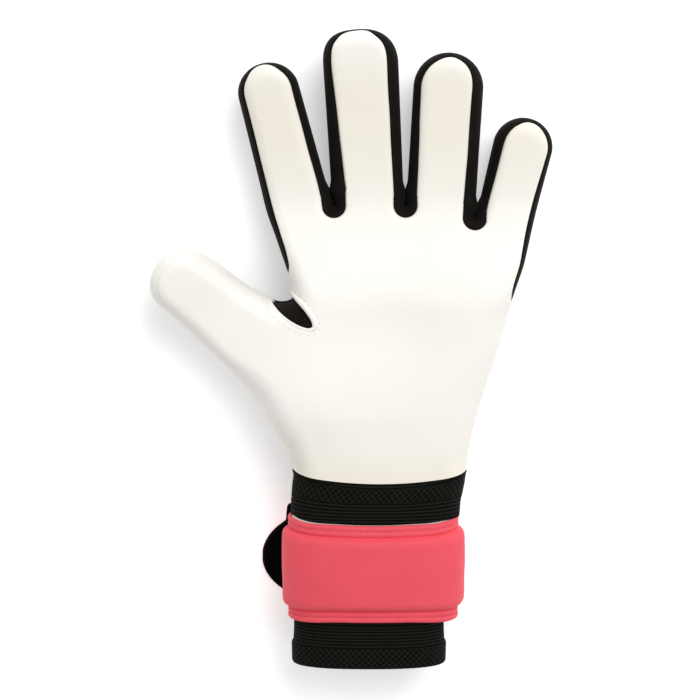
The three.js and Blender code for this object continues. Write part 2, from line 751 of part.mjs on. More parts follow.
/** Wedge of the plan that holds the gusset between two fingers, from one tip's middle to the other's. */
function gussetWedge(thumbward, littler) {
  const beyond = FINGER_WIDTH;
  const half = SEAM_GAP / 2;
  const below = FINGER_WIDTH * 0.75;
  const start = move(thumbward.root, thumbward.side, half, thumbward.along, -below);
  const end = move(littler.root, littler.side, -half, littler.along, -below);
  return prism([
    start, end,
    move(littler.tipEnd, littler.along, beyond, littler.side, -half),
    move(thumbward.tipEnd, thumbward.along, beyond, thumbward.side, half),
  ], lowest, highest);
}

/** Wedge beside the index or the little finger, down to the end of its outer gusset. */
function outerWedge(finger, direction, endPlace) {
  const half = SEAM_GAP / 2;
  const out = new THREE.Vector2(direction, 0);
  const far = FINGER_WIDTH * 1.5;
  return prism([
    move(finger.tipEnd, finger.along, FINGER_WIDTH, finger.side, direction * half),
    move(finger.root, finger.side, direction * half),
    move(endPlace, out, -FINGER_WIDTH * 0.4),
    move(endPlace, out, FINGER_WIDTH * 0.6),
    move(finger.root, out, far),
    move(finger.tipEnd, finger.along, FINGER_WIDTH, out, far),
  ], lowest, highest);
}

// Cuff

/** Point of the cuff's oval, at an angle from its +X end. */
function ovalPoint(angle, halfWide, halfDeep) {
  return {
    x: bowed(Math.cos(angle), OVAL_POWER) * halfWide, z: bowed(Math.sin(angle), OVAL_POWER) * halfDeep,
  };
}

const wristTop = palmHeight(0, HEM_BASE);
const wristBottom = backHeight(0, HEM_BASE);
const flapTop = FLAP_THICKNESS + SEAM_GAP + HOOK_THICKNESS + SEAM_GAP;
const strapBottom = flapTop + LOOP_GAP + STRAP_THICKNESS;
const waistCentre = strapBottom + SEAM_GAP + CUFF_WAIST_DEPTH / 2;

/** Ring of the cuff that fits inside the shell at a place above its hem. */
function insertedRing(y) {
  const low = backHeight(0, y + HEM_SAG) + BACK_WALL + SEAM_GAP;
  const high = palmHeight(0, y + HEM_SAG) - PALM_WALL - SEAM_GAP;
  return {
    y, sag: 1, lined: true, centre: 0, middle: (low + high) / 2,
    wide: wristEdge - SIDE_WALL - SEAM_GAP * 2 - INSERT_EASE_WIDE,
    deep: (high - low) / 2 - INSERT_EASE_DEEP,
  };
}

/** Rings of the cuff's outside, from the end inside the shell to the far hem. */
function cuffRings() {
  const shellMiddle = (wristTop + wristBottom) / 2;
  const shellDeep = (wristTop - wristBottom) / 2;
  const hem = HEM_BASE - HEM_SAG;
  const rings = [CUFF_INSERT, CUFF_INSERT * 0.5, -SEAM_GAP].map((above) => insertedRing(hem + above));
  for (const row of CUFF_RINGS) {
    rings.push({
      y: hem - row.past * CUFF_LENGTH, sag: Math.max(0, 1 - row.past * 6), lined: row.past > 0.1,
      centre: -row.drift * CUFF_DRIFT,
      middle: lerp(waistCentre, shellMiddle, row.deep),
      wide: lerp(CUFF_WAIST_WIDTH / 2, wristEdge, row.wide),
      deep: lerp(CUFF_WAIST_DEPTH / 2, shellDeep, row.deep),
    });
  }
  const endWide = CUFF_END_WIDTH / 2;
  const endDeep = CUFF_WAIST_DEPTH / 2;
  for (const row of CUFF_END_RINGS) {
    rings.push({
      y: hem - row.past * CUFF_LENGTH, sag: 0, lined: row.grow < 0, centre: -CUFF_DRIFT, middle: waistCentre,
      wide: endWide + row.grow, deep: endDeep + row.grow,
    });
  }
  return rings;
}

function cuffSolid() {
  const steps = 36;
  const outside = cuffRings();
  const inside = [...outside].reverse().filter((ring) => ring.lined).map((ring) => ({
    ...ring, wide: ring.wide - CUFF_WALL, deep: ring.deep - CUFF_WALL,
  }));
  const rings = [...outside, ...inside];
  const positions = [];
  const triangles = [];
  for (const ring of rings) {
    for (let step = 0; step < steps; step += 1) {
      const point = ovalPoint((2 * Math.PI * step) / steps, ring.wide, ring.deep);
      const sag = HEM_SAG * (point.x / ring.wide) ** 2 * ring.sag;
      positions.push(ring.centre + point.x, ring.y + sag, ring.middle + point.z);
    }
  }
  for (let level = 0; level < rings.length; level += 1) {
    for (let step = 0; step < steps; step += 1) {
      const next = (level + 1) % rings.length;
      const a = level * steps + step;
      const b = level * steps + ((step + 1) % steps);
      const c = next * steps + ((step + 1) % steps);
      const d = next * steps + step;
      triangles.push(a, b, c, a, c, d);
    }
  }
  return solidFrom(positions, triangles);
}

// Strap

const strapMiddleUp = HEM_BASE - HEM_SAG - STRAP_TOP - STRAP_HEIGHT / 2;
const strapWide = CUFF_WAIST_WIDTH / 2 + SEAM_GAP;
const strapDeep = CUFF_WAIST_DEPTH / 2 + SEAM_GAP;
const flapDrop = strapBottom - FLAP_THICKNESS;

/** Stations along the strap: its inner face, the way out of it, and its section's sizes. */
function strapStations() {
  const stations = [];
  const padAt = (degrees) => ramp(degrees, STRAP_FALL - 14, STRAP_FALL)
    * (1 - ramp(degrees, STRAP_START - 38, STRAP_START - 24));
  const little = 0.01; // radians to each side, for the way along the oval
  for (let degrees = STRAP_START; degrees >= STRAP_END; degrees -= STRAP_STEP) {
    const angle = radians(degrees);
    const at = ovalPoint(angle, strapWide, strapDeep);
    const ahead = ovalPoint(angle - little, strapWide, strapDeep);
    const behind = ovalPoint(angle + little, strapWide, strapDeep);
    const out = new THREE.Vector2(-(ahead.z - behind.z), ahead.x - behind.x).normalize();
    const fall = 1 - ramp(degrees, STRAP_END + 2, STRAP_FALL);
    stations.push({
      x: at.x + out.x * fall * flapDrop, z: waistCentre + at.z + out.y * fall * flapDrop, out,
      thick: lerp(STRAP_THICKNESS, FLAP_THICKNESS, fall), pad: padAt(degrees),
      top: STRAP_HEIGHT / 2, bottom: STRAP_HEIGHT / 2,
    });
  }
  const down = new THREE.Vector2(0, -1);
  const flat = { z: FLAP_THICKNESS, out: down, thick: FLAP_THICKNESS, pad: 0, bottom: STRAP_HEIGHT / 2 };
  const shoulder = STRAP_HEIGHT / 2 + SHOULDER_RISE;
  stations.push({ ...flat, x: -SHOULDER_START * 0.43, top: lerp(STRAP_HEIGHT / 2, shoulder, 0.5) });
  stations.push({ ...flat, x: -SHOULDER_START, top: shoulder });
  const roundStart = TAB_ROUND - TAB_REACH;
  let shoulderDone = false;
  for (const turn of TAB_TURNS) {
    const x = roundStart - Math.sin(radians(turn)) * TAB_ROUND;
    const half = (Math.cos(radians(turn)) * STRAP_HEIGHT) / 2;
    const onShoulder = x > -SHOULDER_REACH;
    if (!onShoulder && !shoulderDone) {
      const shareHere = (-SHOULDER_REACH - roundStart) / TAB_ROUND;
      const halfHere = (Math.sqrt(1 - shareHere ** 2) * STRAP_HEIGHT) / 2;
      stations.push({ ...flat, x: -SHOULDER_REACH, top: shoulder, bottom: halfHere });
      stations.push({ ...flat, x: -SHOULDER_REACH - SHOULDER_DROP, top: halfHere, bottom: halfHere });
      shoulderDone = true;
    }
    stations.push({ ...flat, x, top: onShoulder ? shoulder : half, bottom: half });
  }
  return stations;
}

/** Closed solid through the stations, with a fan at each end. */
function strapSolid() {
  const stations = strapStations();
  const positions = [];
  const triangles = [];
  const count = STRAP_SECTION.length;
  for (const station of stations) {
    for (const row of STRAP_SECTION) {
      const away = row.base * station.thick + row.pad * station.pad * PAD_RISE;
      const half = row.across > 0 ? station.top : station.bottom;
      positions.push(station.x - STRAP_SHIFT + station.out.x * away,
        strapMiddleUp + row.across * half, station.z + station.out.y * away);
    }
  }
  for (let level = 0; level + 1 < stations.length; level += 1) {
    for (let index = 0; index < count; index += 1) {
      const a = level * count + index;
      const b = level * count + ((index + 1) % count);
      triangles.push(a, b + count, b, a, a + count, b + count);
    }
  }
  const fan = (level, flipped) => {
    const station = stations[level];
    const centre = positions.length / 3;
    positions.push(station.x - STRAP_SHIFT + (station.out.x * station.thick) / 2,
      strapMiddleUp + (station.top - station.bottom) / 4, station.z + (station.out.y * station.thick) / 2);
    for (let index = 0; index < count; index += 1) {
      const a = level * count + index;
      const b = level * count + ((index + 1) % count);
      if (flipped) triangles.push(centre, b, a);
      else triangles.push(centre, a, b);
    }
  };
  fan(0, false);
  fan(stations.length - 1, true);
  return solidFrom(positions, triangles);
}

/** Thin hook sheet on the flap's inner face, with the flap's rounded end. */
function hookSolid() {
  const low = FLAP_THICKNESS + SEAM_GAP;
  const half = STRAP_HEIGHT / 2 - HOOK_MARGIN;
  const roundStart = TAB_ROUND - TAB_REACH;
  const reach = TAB_ROUND - HOOK_MARGIN;
  const shape = new THREE.Shape();
  shape.moveTo(HOOK_LENGTH - TAB_REACH, half);
  shape.lineTo(roundStart, half);
  shape.absellipse(roundStart, 0, reach, half, Math.PI / 2, (3 * Math.PI) / 2, false);
  shape.lineTo(HOOK_LENGTH - TAB_REACH, -half);
  const geometry = new THREE.ExtrudeGeometry(shape, {
    depth: HOOK_THICKNESS, bevelEnabled: false, curveSegments: 20,
  });
  geometry.translate(-STRAP_SHIFT, strapMiddleUp, low);
  return solidOf(geometry);
}

// Assembly

const latex = new THREE.MeshStandardMaterial({ color: 0xf8f4ec, roughness: 0.75, metalness: 0 });
const blackMesh = new THREE.MeshStandardMaterial({ color: 0x1f1c17, roughness: 0.85, metalness: 0 });
const blackKnit = new THREE.MeshStandardMaterial({ color: 0x141412, roughness: 0.95, metalness: 0 });
const coral = new THREE.MeshStandardMaterial({ color: 0xe85a64, roughness: 0.7, metalness: 0 });
const hookBlack = new THREE.MeshStandardMaterial({ color: 0x0a0a08, roughness: 0.9, metalness: 0 });

function meshOf(name, solid, material) {
  const result = solid.getMesh();
  const geometry = new THREE.BufferGeometry();
  geometry.setAttribute("position", new THREE.BufferAttribute(new Float32Array(result.vertProperties), 3));
  geometry.setIndex(new THREE.BufferAttribute(new Uint32Array(result.triVerts), 1));
  geometry.computeVertexNormals();
  const mesh = new THREE.Mesh(geometry, material);
  mesh.name = name;
  return mesh;
}

function buildGlove() {
  const shell = shellSolid();
  const palm = palmRegion(0);
  const back = backRegion(0);
  const oval = ovalRegion(SEAM_GAP);
  const sides = shell.subtract(palmRegion(SEAM_GAP)).subtract(backRegion(SEAM_GAP));
  const glove = new THREE.Group();
  glove.name = "goalkeeper_glove";
  glove.add(meshOf("palm_latex", shell.intersect(palm).subtract(oval), latex));
  glove.add(meshOf("back_panel", shell.intersect(back), blackMesh));
  const [index, middle, ring, little] = fingers;
  const indexEndDown = INDEX_EDGE[INDEX_EDGE.length - 1].down;
  const indexEnd = new THREE.Vector2(thumbCorner.x, lerp(index.root.y, thumbCorner.y, indexEndDown));
  const littleEnd = palmEdgePlace(GUSSET_EDGE[0]);
  const strips = [
    ["gusset_index_outer", outerWedge(index, -1, indexEnd)],
    ["gusset_index_middle", gussetWedge(index, middle)],
    ["gusset_middle_ring", gussetWedge(middle, ring)],
    ["gusset_ring_little", gussetWedge(ring, little)],
    ["gusset_little_outer", outerWedge(little, 1, littleEnd)],
  ];
  for (const [name, wedge] of strips) glove.add(meshOf(name, sides.intersect(wedge), blackMesh));
  const sunkShell = shell.translate([0, 0, -OVAL_SUNK]);
  glove.add(meshOf("thumb_crotch_gusset", sunkShell.intersect(ovalRegion(0)), blackMesh));
  glove.add(meshOf("knit_cuff", cuffSolid(), blackKnit));
  glove.add(meshOf("wrist_strap", strapSolid(), coral));
  glove.add(meshOf("hook_patch", hookSolid(), hookBlack));
  const box = new THREE.Box3().setFromObject(glove);
  const centre = box.getCenter(new THREE.Vector3());
  glove.position.set(-centre.x, -centre.y, -box.min.z);
  return glove;
}

export default buildGlove();
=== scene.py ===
"""Left goalkeeper glove lying on its back with the palm up, built piece by piece over its fixed frame."""

import logging
import math
from collections.abc import Callable, Sequence
from dataclasses import dataclass, field
from enum import Enum

import bmesh
import bpy
import numpy as np
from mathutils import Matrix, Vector, noise
from mathutils.bvhtree import BVHTree
from mathutils.geometry import delaunay_2d_cdt


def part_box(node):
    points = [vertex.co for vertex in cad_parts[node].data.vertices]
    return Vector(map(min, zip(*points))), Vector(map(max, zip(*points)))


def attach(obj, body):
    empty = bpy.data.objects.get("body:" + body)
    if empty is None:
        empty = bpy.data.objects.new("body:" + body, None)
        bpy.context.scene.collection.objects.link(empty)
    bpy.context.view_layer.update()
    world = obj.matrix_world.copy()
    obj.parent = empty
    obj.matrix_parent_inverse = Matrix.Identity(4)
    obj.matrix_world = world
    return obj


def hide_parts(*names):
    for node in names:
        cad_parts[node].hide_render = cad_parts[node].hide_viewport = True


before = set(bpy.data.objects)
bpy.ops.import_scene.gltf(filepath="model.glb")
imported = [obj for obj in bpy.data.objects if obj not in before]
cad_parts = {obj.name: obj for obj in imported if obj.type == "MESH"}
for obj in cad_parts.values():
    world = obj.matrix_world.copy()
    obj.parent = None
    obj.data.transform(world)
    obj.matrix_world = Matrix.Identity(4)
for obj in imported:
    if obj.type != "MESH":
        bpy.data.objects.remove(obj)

log = logging.getLogger("glove")
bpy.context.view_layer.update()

MM = 0.001
HOOK_LEFT = 53.0  # plan distance of the hook tape's round end from the middle of the wrist
CUFF_END = 78.5  # plan distance of the cuff's end from the plan's zero
SHIFT_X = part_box("hook_patch")[0].x / MM + HOOK_LEFT
SHIFT_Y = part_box("knit_cuff")[0].y / MM + CUFF_END
PLAN_ZERO = np.array([SHIFT_X, SHIFT_Y, 0.0])  # where the plan's zero lies in the frame, in millimetres


class Slot(Enum):
    """Material slots of the record."""

    LATEX = "latex"
    BACK = "back"
    GUSSET = "gusset"
    KNIT = "knit"
    STRAP = "strap"
    HOOK = "hook"


# Numbers and directions

Numbers = np.ndarray | float


def ramp(value: Numbers, low: float, high: float) -> Numbers:
    """Smooth step from 0 at low to 1 at high."""
    share = np.clip((np.asarray(value, float) - low) / (high - low), 0.0, 1.0)
    return share * share * (3.0 - 2.0 * share)


def lerp(start: Numbers, end: Numbers, share: Numbers) -> Numbers:
    """Value a share of the way from start to end."""
    return start + (end - start) * share


def leaning(degrees: float) -> np.ndarray:
    """Unit plan direction that leans by an angle from +Y toward the thumb."""
    return np.array([-math.sin(math.radians(degrees)), math.cos(math.radians(degrees))])


def side_of(direction: np.ndarray) -> np.ndarray:
    """Plan direction a quarter turn toward the little finger."""
    return np.array([direction[1], -direction[0]])


def through(points: Sequence[Sequence[float]], spacing: float) -> np.ndarray:
    """Smooth run through points, resampled evenly.

    Args:
        points: Rows of a place and whatever goes with it; the first two columns are x and y.
        spacing: Distance between two samples in millimetres.

    Returns:
        Rows like the given ones, from the first point to the last.
    """
    rows = np.asarray(points, float)
    padded = np.vstack([2 * rows[0] - rows[1], rows, 2 * rows[-1] - rows[-2]])
    share = np.linspace(0, 1, 24, endpoint=False)[:, None]
    pieces = []
    for a, b, c, d in zip(padded, padded[1:], padded[2:], padded[3:]):
        bend = 2 * a - 5 * b + 4 * c - d
        twist = 3 * (b - c) + d - a
        pieces.append(b + 0.5 * share * (c - a + share * (bend + share * twist)))
    dense = np.vstack([*pieces, rows[-1:]])
    return resampled(dense, spacing)


def resampled(rows: np.ndarray, spacing: float) -> np.ndarray:
    """Even samples along a run of rows whose first two columns are its plan.

    Args:
        rows: The run.
        spacing: Distance between two samples in millimetres.

    Returns:
        The samples, both ends included.
    """
    steps = np.hypot(*np.diff(rows[:, :2], axis=0).T)
    travel = np.concatenate([[0.0], np.cumsum(steps)])
    count = max(2, int(round(travel[-1] / spacing)) + 1)
    wanted = np.linspace(0, travel[-1], count)
    return np.stack([np.interp(wanted, travel, column) for column in rows.T], axis=1)


def softened(rows: np.ndarray) -> np.ndarray:
    """Run whose inner rows are smoothed three times over."""
    for _ in range(3):
        rows[1:-1] = (rows[:-2] + 2 * rows[1:-1] + rows[2:]) / 4
    return rows


# Finishes

Socket = bpy.types.NodeSocket
Tree = bpy.types.NodeTree
Material = bpy.types.Material


def linear(colour: str) -> tuple[float, float, float, float]:
    """Linear colour of an sRGB hex value such as #f7f3ea."""
    parts = [int(colour[index:index + 2], 16) / 255 for index in (1, 3, 5)]
    return (*[part / 12.92 if part <= 0.04045 else ((part + 0.055) / 1.055) ** 2.4 for part in parts], 1.0)


def add_node(tree: Tree, kind: str, settings: dict | None = None, inputs: dict | None = None) -> bpy.types.Node:
    """Adds a node with its settings and what goes into it.

    Args:
        tree: Node tree that gets the node.
        kind: Name of the node's type.
        settings: Properties of the node by name.
        inputs: Sockets to link from, or constants, by the name or number of the input.

    Returns:
        The node.
    """
    node = tree.nodes.new(kind)
    for name, value in (settings or {}).items():
        setattr(node, name, value)
    for name, value in (inputs or {}).items():
        if isinstance(value, Socket):
            tree.links.new(value, node.inputs[name])
        else:
            node.inputs[name].default_value = value
    return node


def maths(tree: Tree, operation: str, first: Socket | float, second: Socket | float = 0.0,
          third: Socket | float = 0.0) -> Socket:
    """Result of one Math node."""
    return add_node(tree, "ShaderNodeMath", {"operation": operation}, {
        0: first, 1: second, 2: third}).outputs["Value"]


def remapped(tree: Tree, value: Socket, span: tuple[float, float], result: tuple[float, float],
             way: str = "LINEAR") -> Socket:
    """Value mapped from one span to another.

    Args:
        tree: Node tree that gets the node.
        value: Socket that is mapped.
        span: The value's two ends.
        result: What the two ends become.
        way: Kind of interpolation between them.

    Returns:
        The mapped value.
    """
    return add_node(tree, "ShaderNodeMapRange", {"interpolation_type": way}, {
        "Value": value, "From Min": span[0], "From Max": span[1],
        "To Min": result[0], "To Max": result[1]}).outputs["Result"]


def object_place(tree: Tree) -> Socket:
    """Object coordinates."""
    return add_node(tree, "ShaderNodeTexCoord").outputs["Object"]


def surface_place(tree: Tree) -> tuple[Socket, Socket]:
    """The two coordinates of the piece's own UV map."""
    place = add_node(tree, "ShaderNodeUVMap", {"uv_map": "surface"}).outputs["UV"]
    parts = add_node(tree, "ShaderNodeSeparateXYZ", inputs={"Vector": place})
    return parts.outputs["X"], parts.outputs["Y"]


@dataclass(frozen=True)
class Finish:
    """What every finish shares: its name, two colours that it wanders between, and its gloss."""

    name: str
    light: str
    dark: str
    roughness: float
    ior: float = 1.5
    specular: float = 0.5
    sheen: float = 0.0
    sheen_roughness: float = 0.5
    sheen_tint: str = "#ffffff"
    bump_depth: float = 0.1
    glow: float = 0.0
    gloss_drift: float = 0.06

    def build(self) -> Material:
        """Makes the material, with a procedural colour, roughness and bump."""
        material = bpy.data.materials.new(self.name)
        material.use_nodes = True
        tree = material.node_tree
        tree.nodes.clear()
        output = add_node(tree, "ShaderNodeOutputMaterial")
        shader = add_node(tree, "ShaderNodeBsdfPrincipled", inputs={
            "IOR": self.ior, "Metallic": 0.0, "Specular IOR Level": self.specular, "Sheen Weight": self.sheen,
            "Sheen Roughness": self.sheen_roughness, "Sheen Tint": linear(self.sheen_tint),
            "Emission Color": (1.0, 1.0, 1.0, 1.0), "Emission Strength": self.glow})
        tree.links.new(shader.outputs["BSDF"], output.inputs["Surface"])
        colour, height, gloss = self.pattern(tree)
        tree.links.new(colour, shader.inputs["Base Color"])
        bump = add_node(tree, "ShaderNodeBump", inputs={
            "Strength": 1.0, "Distance": self.bump_depth * MM, "Height": height})
        tree.links.new(bump.outputs["Normal"], shader.inputs["Normal"])
        ends = self.roughness - self.gloss_drift, self.roughness + self.gloss_drift
        tree.links.new(remapped(tree, gloss, (0.0, 1.0), ends), shader.inputs["Roughness"])
        return material

    def mixed(self, tree: Tree, share: Socket) -> Socket:
        """Colour between the dark one at 0 and the light one at 1."""
        mix = add_node(tree, "ShaderNodeMix", {"data_type": "RGBA"}, {
            0: share, 6: linear(self.dark), 7: linear(self.light)})
        return mix.outputs[2]

    def pattern(self, tree: Tree) -> tuple[Socket, Socket, Socket]:
        """Colour, height and gloss sockets of the finish."""
        raise NotImplementedError

    def spots(self, tree: Tree, size: float, detail: float = 2.0) -> Socket:
        """Noise on Object coordinates, about 0 to 1, with spots of a size in millimetres."""
        cloud = add_node(tree, "ShaderNodeTexNoise", inputs={
            "Vector": object_place(tree), "Scale": 1 / (size * MM), "Detail": detail, "Roughness": 0.55})
        return cloud.outputs["Fac"]


@dataclass(frozen=True)
class FoamLatex(Finish):
    """Natural latex foam, frothed, moulded in a sheet and laminated to a lining.

    Its colour is painted darker toward the wrist and along the middle of the fingers, as shade where the latex
    turns away from the light.
    """

    pore: float = 0.9
    # Painted shade: from and to this far up the glove in millimetres, the tone goes from the third to the fourth
    # value.
    painted_shade_zones: tuple[tuple[float, float, float, float], ...] = (
        (-70.0, -22.0, 0.0, 1.0), (40.0, 98.0, 1.0, 0.3), (112.0, 142.0, 0.0, 0.6))

    def pattern(self, tree: Tree) -> tuple[Socket, Socket, Socket]:
        """Fine open pores over slow, soft hollows, so the eye reads a matt, chalky skin."""
        pores = self.spots(tree, self.pore, 4.0)
        hollows = self.spots(tree, 22.0, 1.0)
        height = maths(tree, "MULTIPLY_ADD", hollows, 5.0, pores)
        up = add_node(tree, "ShaderNodeSeparateXYZ", inputs={"Vector": object_place(tree)}).outputs["Y"]
        # Painted shade: darker toward the wrist and along the middle of the fingers, lighter again toward the tips
        wrist, palm, tips = [remapped(tree, up, (start * MM, end * MM), (low, high), "SMOOTHSTEP")
                             for start, end, low, high in self.painted_shade_zones]
        shade = maths(tree, "MULTIPLY", wrist, maths(tree, "ADD", palm, tips))
        speck = maths(tree, "MULTIPLY_ADD", pores, 0.2, maths(tree, "MULTIPLY", hollows, 0.2))
        tone = maths(tree, "ADD", shade, maths(tree, "SUBTRACT", speck, 0.2))
        return self.mixed(tree, tone), height, pores


@dataclass(frozen=True)
class Weave(Finish):
    """Cloth with a staggered grid of small openings or floats, on the piece's own UV map in metres."""

    pitch: float = 0.9
    contrast: float = 0.6

    def pattern(self, tree: Tree) -> tuple[Socket, Socket, Socket]:
        """Yarn bumps between darker openings, which give the cloth its fine broken surface."""
        turns = math.pi / (self.pitch * MM)
        across, down = [maths(tree, "MULTIPLY", place, turns) for place in surface_place(tree)]
        first, second = [maths(tree, "COSINE", maths(tree, sign, across, down)) for sign in ("ADD", "SUBTRACT")]
        cells = maths(tree, "MULTIPLY", maths(tree, "ADD", first, second), 0.5)
        yarn = remapped(tree, cells, (-1.0, 1.0), (1.0, 1 - self.contrast))
        worn = maths(tree, "MULTIPLY_ADD", self.spots(tree, 6.0), 0.4, yarn)
        return self.mixed(tree, maths(tree, "SUBTRACT", worn, 0.2)), yarn, self.spots(tree, 3.0)


@dataclass(frozen=True)
class RibKnit(Finish):
    """Elastic knitted in fine ribs round the wrist, on the piece's own UV map in metres."""

    pitch: float = 1.45
    start: float = 7.95
    wale: float = 0.8

    def pattern(self, tree: Tree) -> tuple[Socket, Socket, Socket]:
        """Lit ridges between dark furrows, broken by the wales of the knit, so the ribs read as lines."""
        around, down = surface_place(tree)
        turns = 2 * math.pi / (self.pitch * MM)
        late = -math.pi - self.start * MM * turns
        ridge = maths(tree, "COSINE", maths(tree, "MULTIPLY_ADD", down, turns, late))
        wale = maths(tree, "COSINE", maths(tree, "MULTIPLY", around, 2 * math.pi / (self.wale * MM)))
        rib = remapped(tree, ridge, (-0.6, 1.0), (0.0, 0.8))
        knit = maths(tree, "MULTIPLY_ADD", wale, 0.12, rib)
        worn = maths(tree, "MULTIPLY_ADD", self.spots(tree, 5.0), 0.3, knit)
        return self.mixed(tree, maths(tree, "SUBTRACT", worn, 0.1)), knit, self.spots(tree, 3.0)


@dataclass(frozen=True)
class Jersey(Finish):
    """Warp-knitted nylon loop jersey laminated on foam, brushed to a short velvety nap."""

    nap: float = 0.7

    def pattern(self, tree: Tree) -> tuple[Socket, Socket, Socket]:
        """Close nap with slow changes of tone where it lies differently."""
        fuzz = self.spots(tree, self.nap, 3.0)
        drift = self.spots(tree, 14.0, 1.5)
        tone = maths(tree, "MULTIPLY_ADD", fuzz, 0.3, maths(tree, "MULTIPLY", drift, 0.7))
        height = maths(tree, "MULTIPLY_ADD", drift, 2.0, fuzz)
        return self.mixed(tree, tone), height, drift


@dataclass(frozen=True)
class Plain(Finish):
    """Fine-grained surface without a pattern of its own, such as thread, cut foam or a painted floor."""

    grain: float = 0.5

    def pattern(self, tree: Tree) -> tuple[Socket, Socket, Socket]:
        """Fine grain in colour and height."""
        grain = self.spots(tree, self.grain, 2.0)
        return self.mixed(tree, grain), grain, grain


def made(finish: Finish) -> Material:
    """Field whose value is the material of a finish, made with its owner."""
    return field(default_factory=finish.build)


@dataclass
class Finishes:
    """Every material of the glove, each made once from its real finish."""

    # Cream foam latex, matt and chalky; its darker colour also serves as painted shade toward the wrist and
    # fingers
    latex: Material = made(FoamLatex("foam_latex", "#faf7f1", "#f0e9da", 0.74, 1.52, 0.3, bump_depth=0.12))
    # Black elastane mesh between the fingers
    mesh: Material = made(Weave("stretch_mesh", "#1c1916", "#060504", 0.85, specular=0.05, sheen=0.02,
                                bump_depth=0.12))
    # Dark woven polyester of the backhand
    back: Material = made(Weave("backhand_fabric", "#1f1d1b", "#0d0c0c", 0.85, specular=0.08, sheen=0.04,
                                pitch=1.3, bump_depth=0.15))
    # Covered rubber knitted in ribs
    knit: Material = made(RibKnit("elastic_knit", "#23231f", "#050504", 0.9, specular=0.05, sheen=0.02,
                                  bump_depth=0.12))
    # The same yarn knitted open
    knit_band: Material = made(Weave("openwork_knit", "#20201c", "#020202", 0.9, specular=0.05, sheen=0.02,
                                     pitch=1.35, contrast=1.0, bump_depth=0.35))
    # Coral loop jersey with a short nap
    jersey: Material = made(Jersey("coral_jersey", "#f45b67", "#ea5261", 0.72, specular=0.2, sheen=0.12,
                                   sheen_tint="#ffb3bf", bump_depth=0.08))
    # Raw cut edge of the strap's foam
    cut_foam: Material = made(Plain("cut_foam", "#d9d1cc", "#bdb3ad", 0.85))
    # Black tricot on the strap's inner face
    lining: Material = made(Plain("strap_lining", "#0e0d0c", "#060605", 0.9, specular=0.08, sheen=0.02))
    # Moulded black nylon of the hook tape
    hook: Material = made(Plain("hook_tape", "#070706", "#020202", 0.8, specular=0.05, grain=0.8))
    # Polyester thread, lighter than the jersey
    thread: Material = made(Plain("polyester_thread", "#f4848d", "#ea6c77", 0.5, specular=0.3, grain=0.3))
    # The same thread, painted darker as shade where it sinks into the jersey
    shaded_thread: Material = made(Plain("shaded_coral_thread", "#b9444f", "#a23741", 0.6, specular=0.2, grain=0.3))
    # Off-white thread in the latex
    latex_thread: Material = made(Plain("pale_thread", "#f1ece3", "#e4ddd1", 0.5, specular=0.3, grain=0.3))
    # White sheet that glows faintly, as a light table does
    floor: Material = made(Plain("studio_floor", "#fcfcfb", "#fafaf9", 0.9, specular=0.2, glow=0.4, grain=40.0,
                                 bump_depth=0.01))


# Meshes


def placed(points: np.ndarray) -> np.ndarray:
    """Plan millimetres turned to metres in the frame."""
    return (np.asarray(points, float) + PLAN_ZERO) * MM


def in_plan(points: Sequence[Vector]) -> np.ndarray:
    """Metres in the frame turned to plan millimetres."""
    return np.array(points) / MM - PLAN_ZERO


def shade_smooth(mesh: bpy.types.Mesh) -> None:
    """Makes every face of a mesh smooth."""
    mesh.polygons.foreach_set("use_smooth", [True] * len(mesh.polygons))


def write_back(net: bmesh.types.BMesh, mesh: bpy.types.Mesh) -> None:
    """Puts an edited net back into its mesh, with smooth faces."""
    net.to_mesh(mesh)
    net.free()
    shade_smooth(mesh)


def new_mesh(name: str, points: np.ndarray, faces: Sequence[Sequence[int]]) -> bpy.types.Mesh:
    """Mesh from plan millimetres, with smooth faces."""
    mesh = bpy.data.meshes.new(name)
    mesh.from_pydata(placed(points).tolist(), [], [list(face) for face in faces])
    mesh.validate()
    shade_smooth(mesh)
    return mesh


def dress(mesh: bpy.types.Mesh, materials: Sequence[Material]) -> None:
    """Gives a mesh its materials."""
    mesh.materials.clear()
    for material in materials:
        mesh.materials.append(material)


def linked(thing: bpy.types.Object) -> bpy.types.Object:
    """Object, linked to the scene."""
    bpy.context.scene.collection.objects.link(thing)
    return thing


def new_piece(name: str, mesh: bpy.types.Mesh, *materials: Material) -> bpy.types.Object:
    """Object of a mesh with its materials, linked to the scene."""
    dress(mesh, materials)
    return linked(bpy.data.objects.new(name, mesh))


def grid_faces(rows: int, columns: int, closed: bool = False, first: int = 0) -> list[tuple[int, ...]]:
    """Quads of a grid whose rows run down its outside and whose columns run counterclockwise.

    Args:
        rows: Number of rows.
        columns: Number of columns.
        closed: Whether the last column joins the first one.
        first: Number of the grid's first vertex.

    Returns:
        The faces.
    """
    faces = []
    for row in range(rows - 1):
        for column in range(columns if closed else columns - 1):
            after = (column + 1) % columns
            a, b = first + row * columns + column, first + row * columns + after
            faces.append((a, a + columns, b + columns, b))
    return faces


def closed_loft(rows: int, columns: int) -> list[tuple[int, ...]]:
    """Faces of a tube of closed rings with a face at either end."""
    last = rows * columns
    return [*grid_faces(rows, columns, closed=True), tuple(range(columns)),
            tuple(range(last - 1, last - columns - 1, -1))]


def set_surface_map(mesh: bpy.types.Mesh, rows: np.ndarray) -> None:
    """Gives a mesh a UV map in metres from two values for each vertex in millimetres."""
    layer = mesh.uv_layers.new(name="surface")
    corners = np.empty(len(mesh.loops), int)
    mesh.loops.foreach_get("vertex_index", corners)
    layer.data.foreach_set("uv", (rows[corners] * MM).ravel())


def plan_surface_map(mesh: bpy.types.Mesh) -> None:
    """Gives a mesh a UV map in metres that is its plan, with the height added along the sides."""
    places = np.array([corner.co for corner in mesh.vertices])
    set_surface_map(mesh, np.stack([places[:, 0] + places[:, 2], places[:, 1] + places[:, 2]], axis=1) / MM)


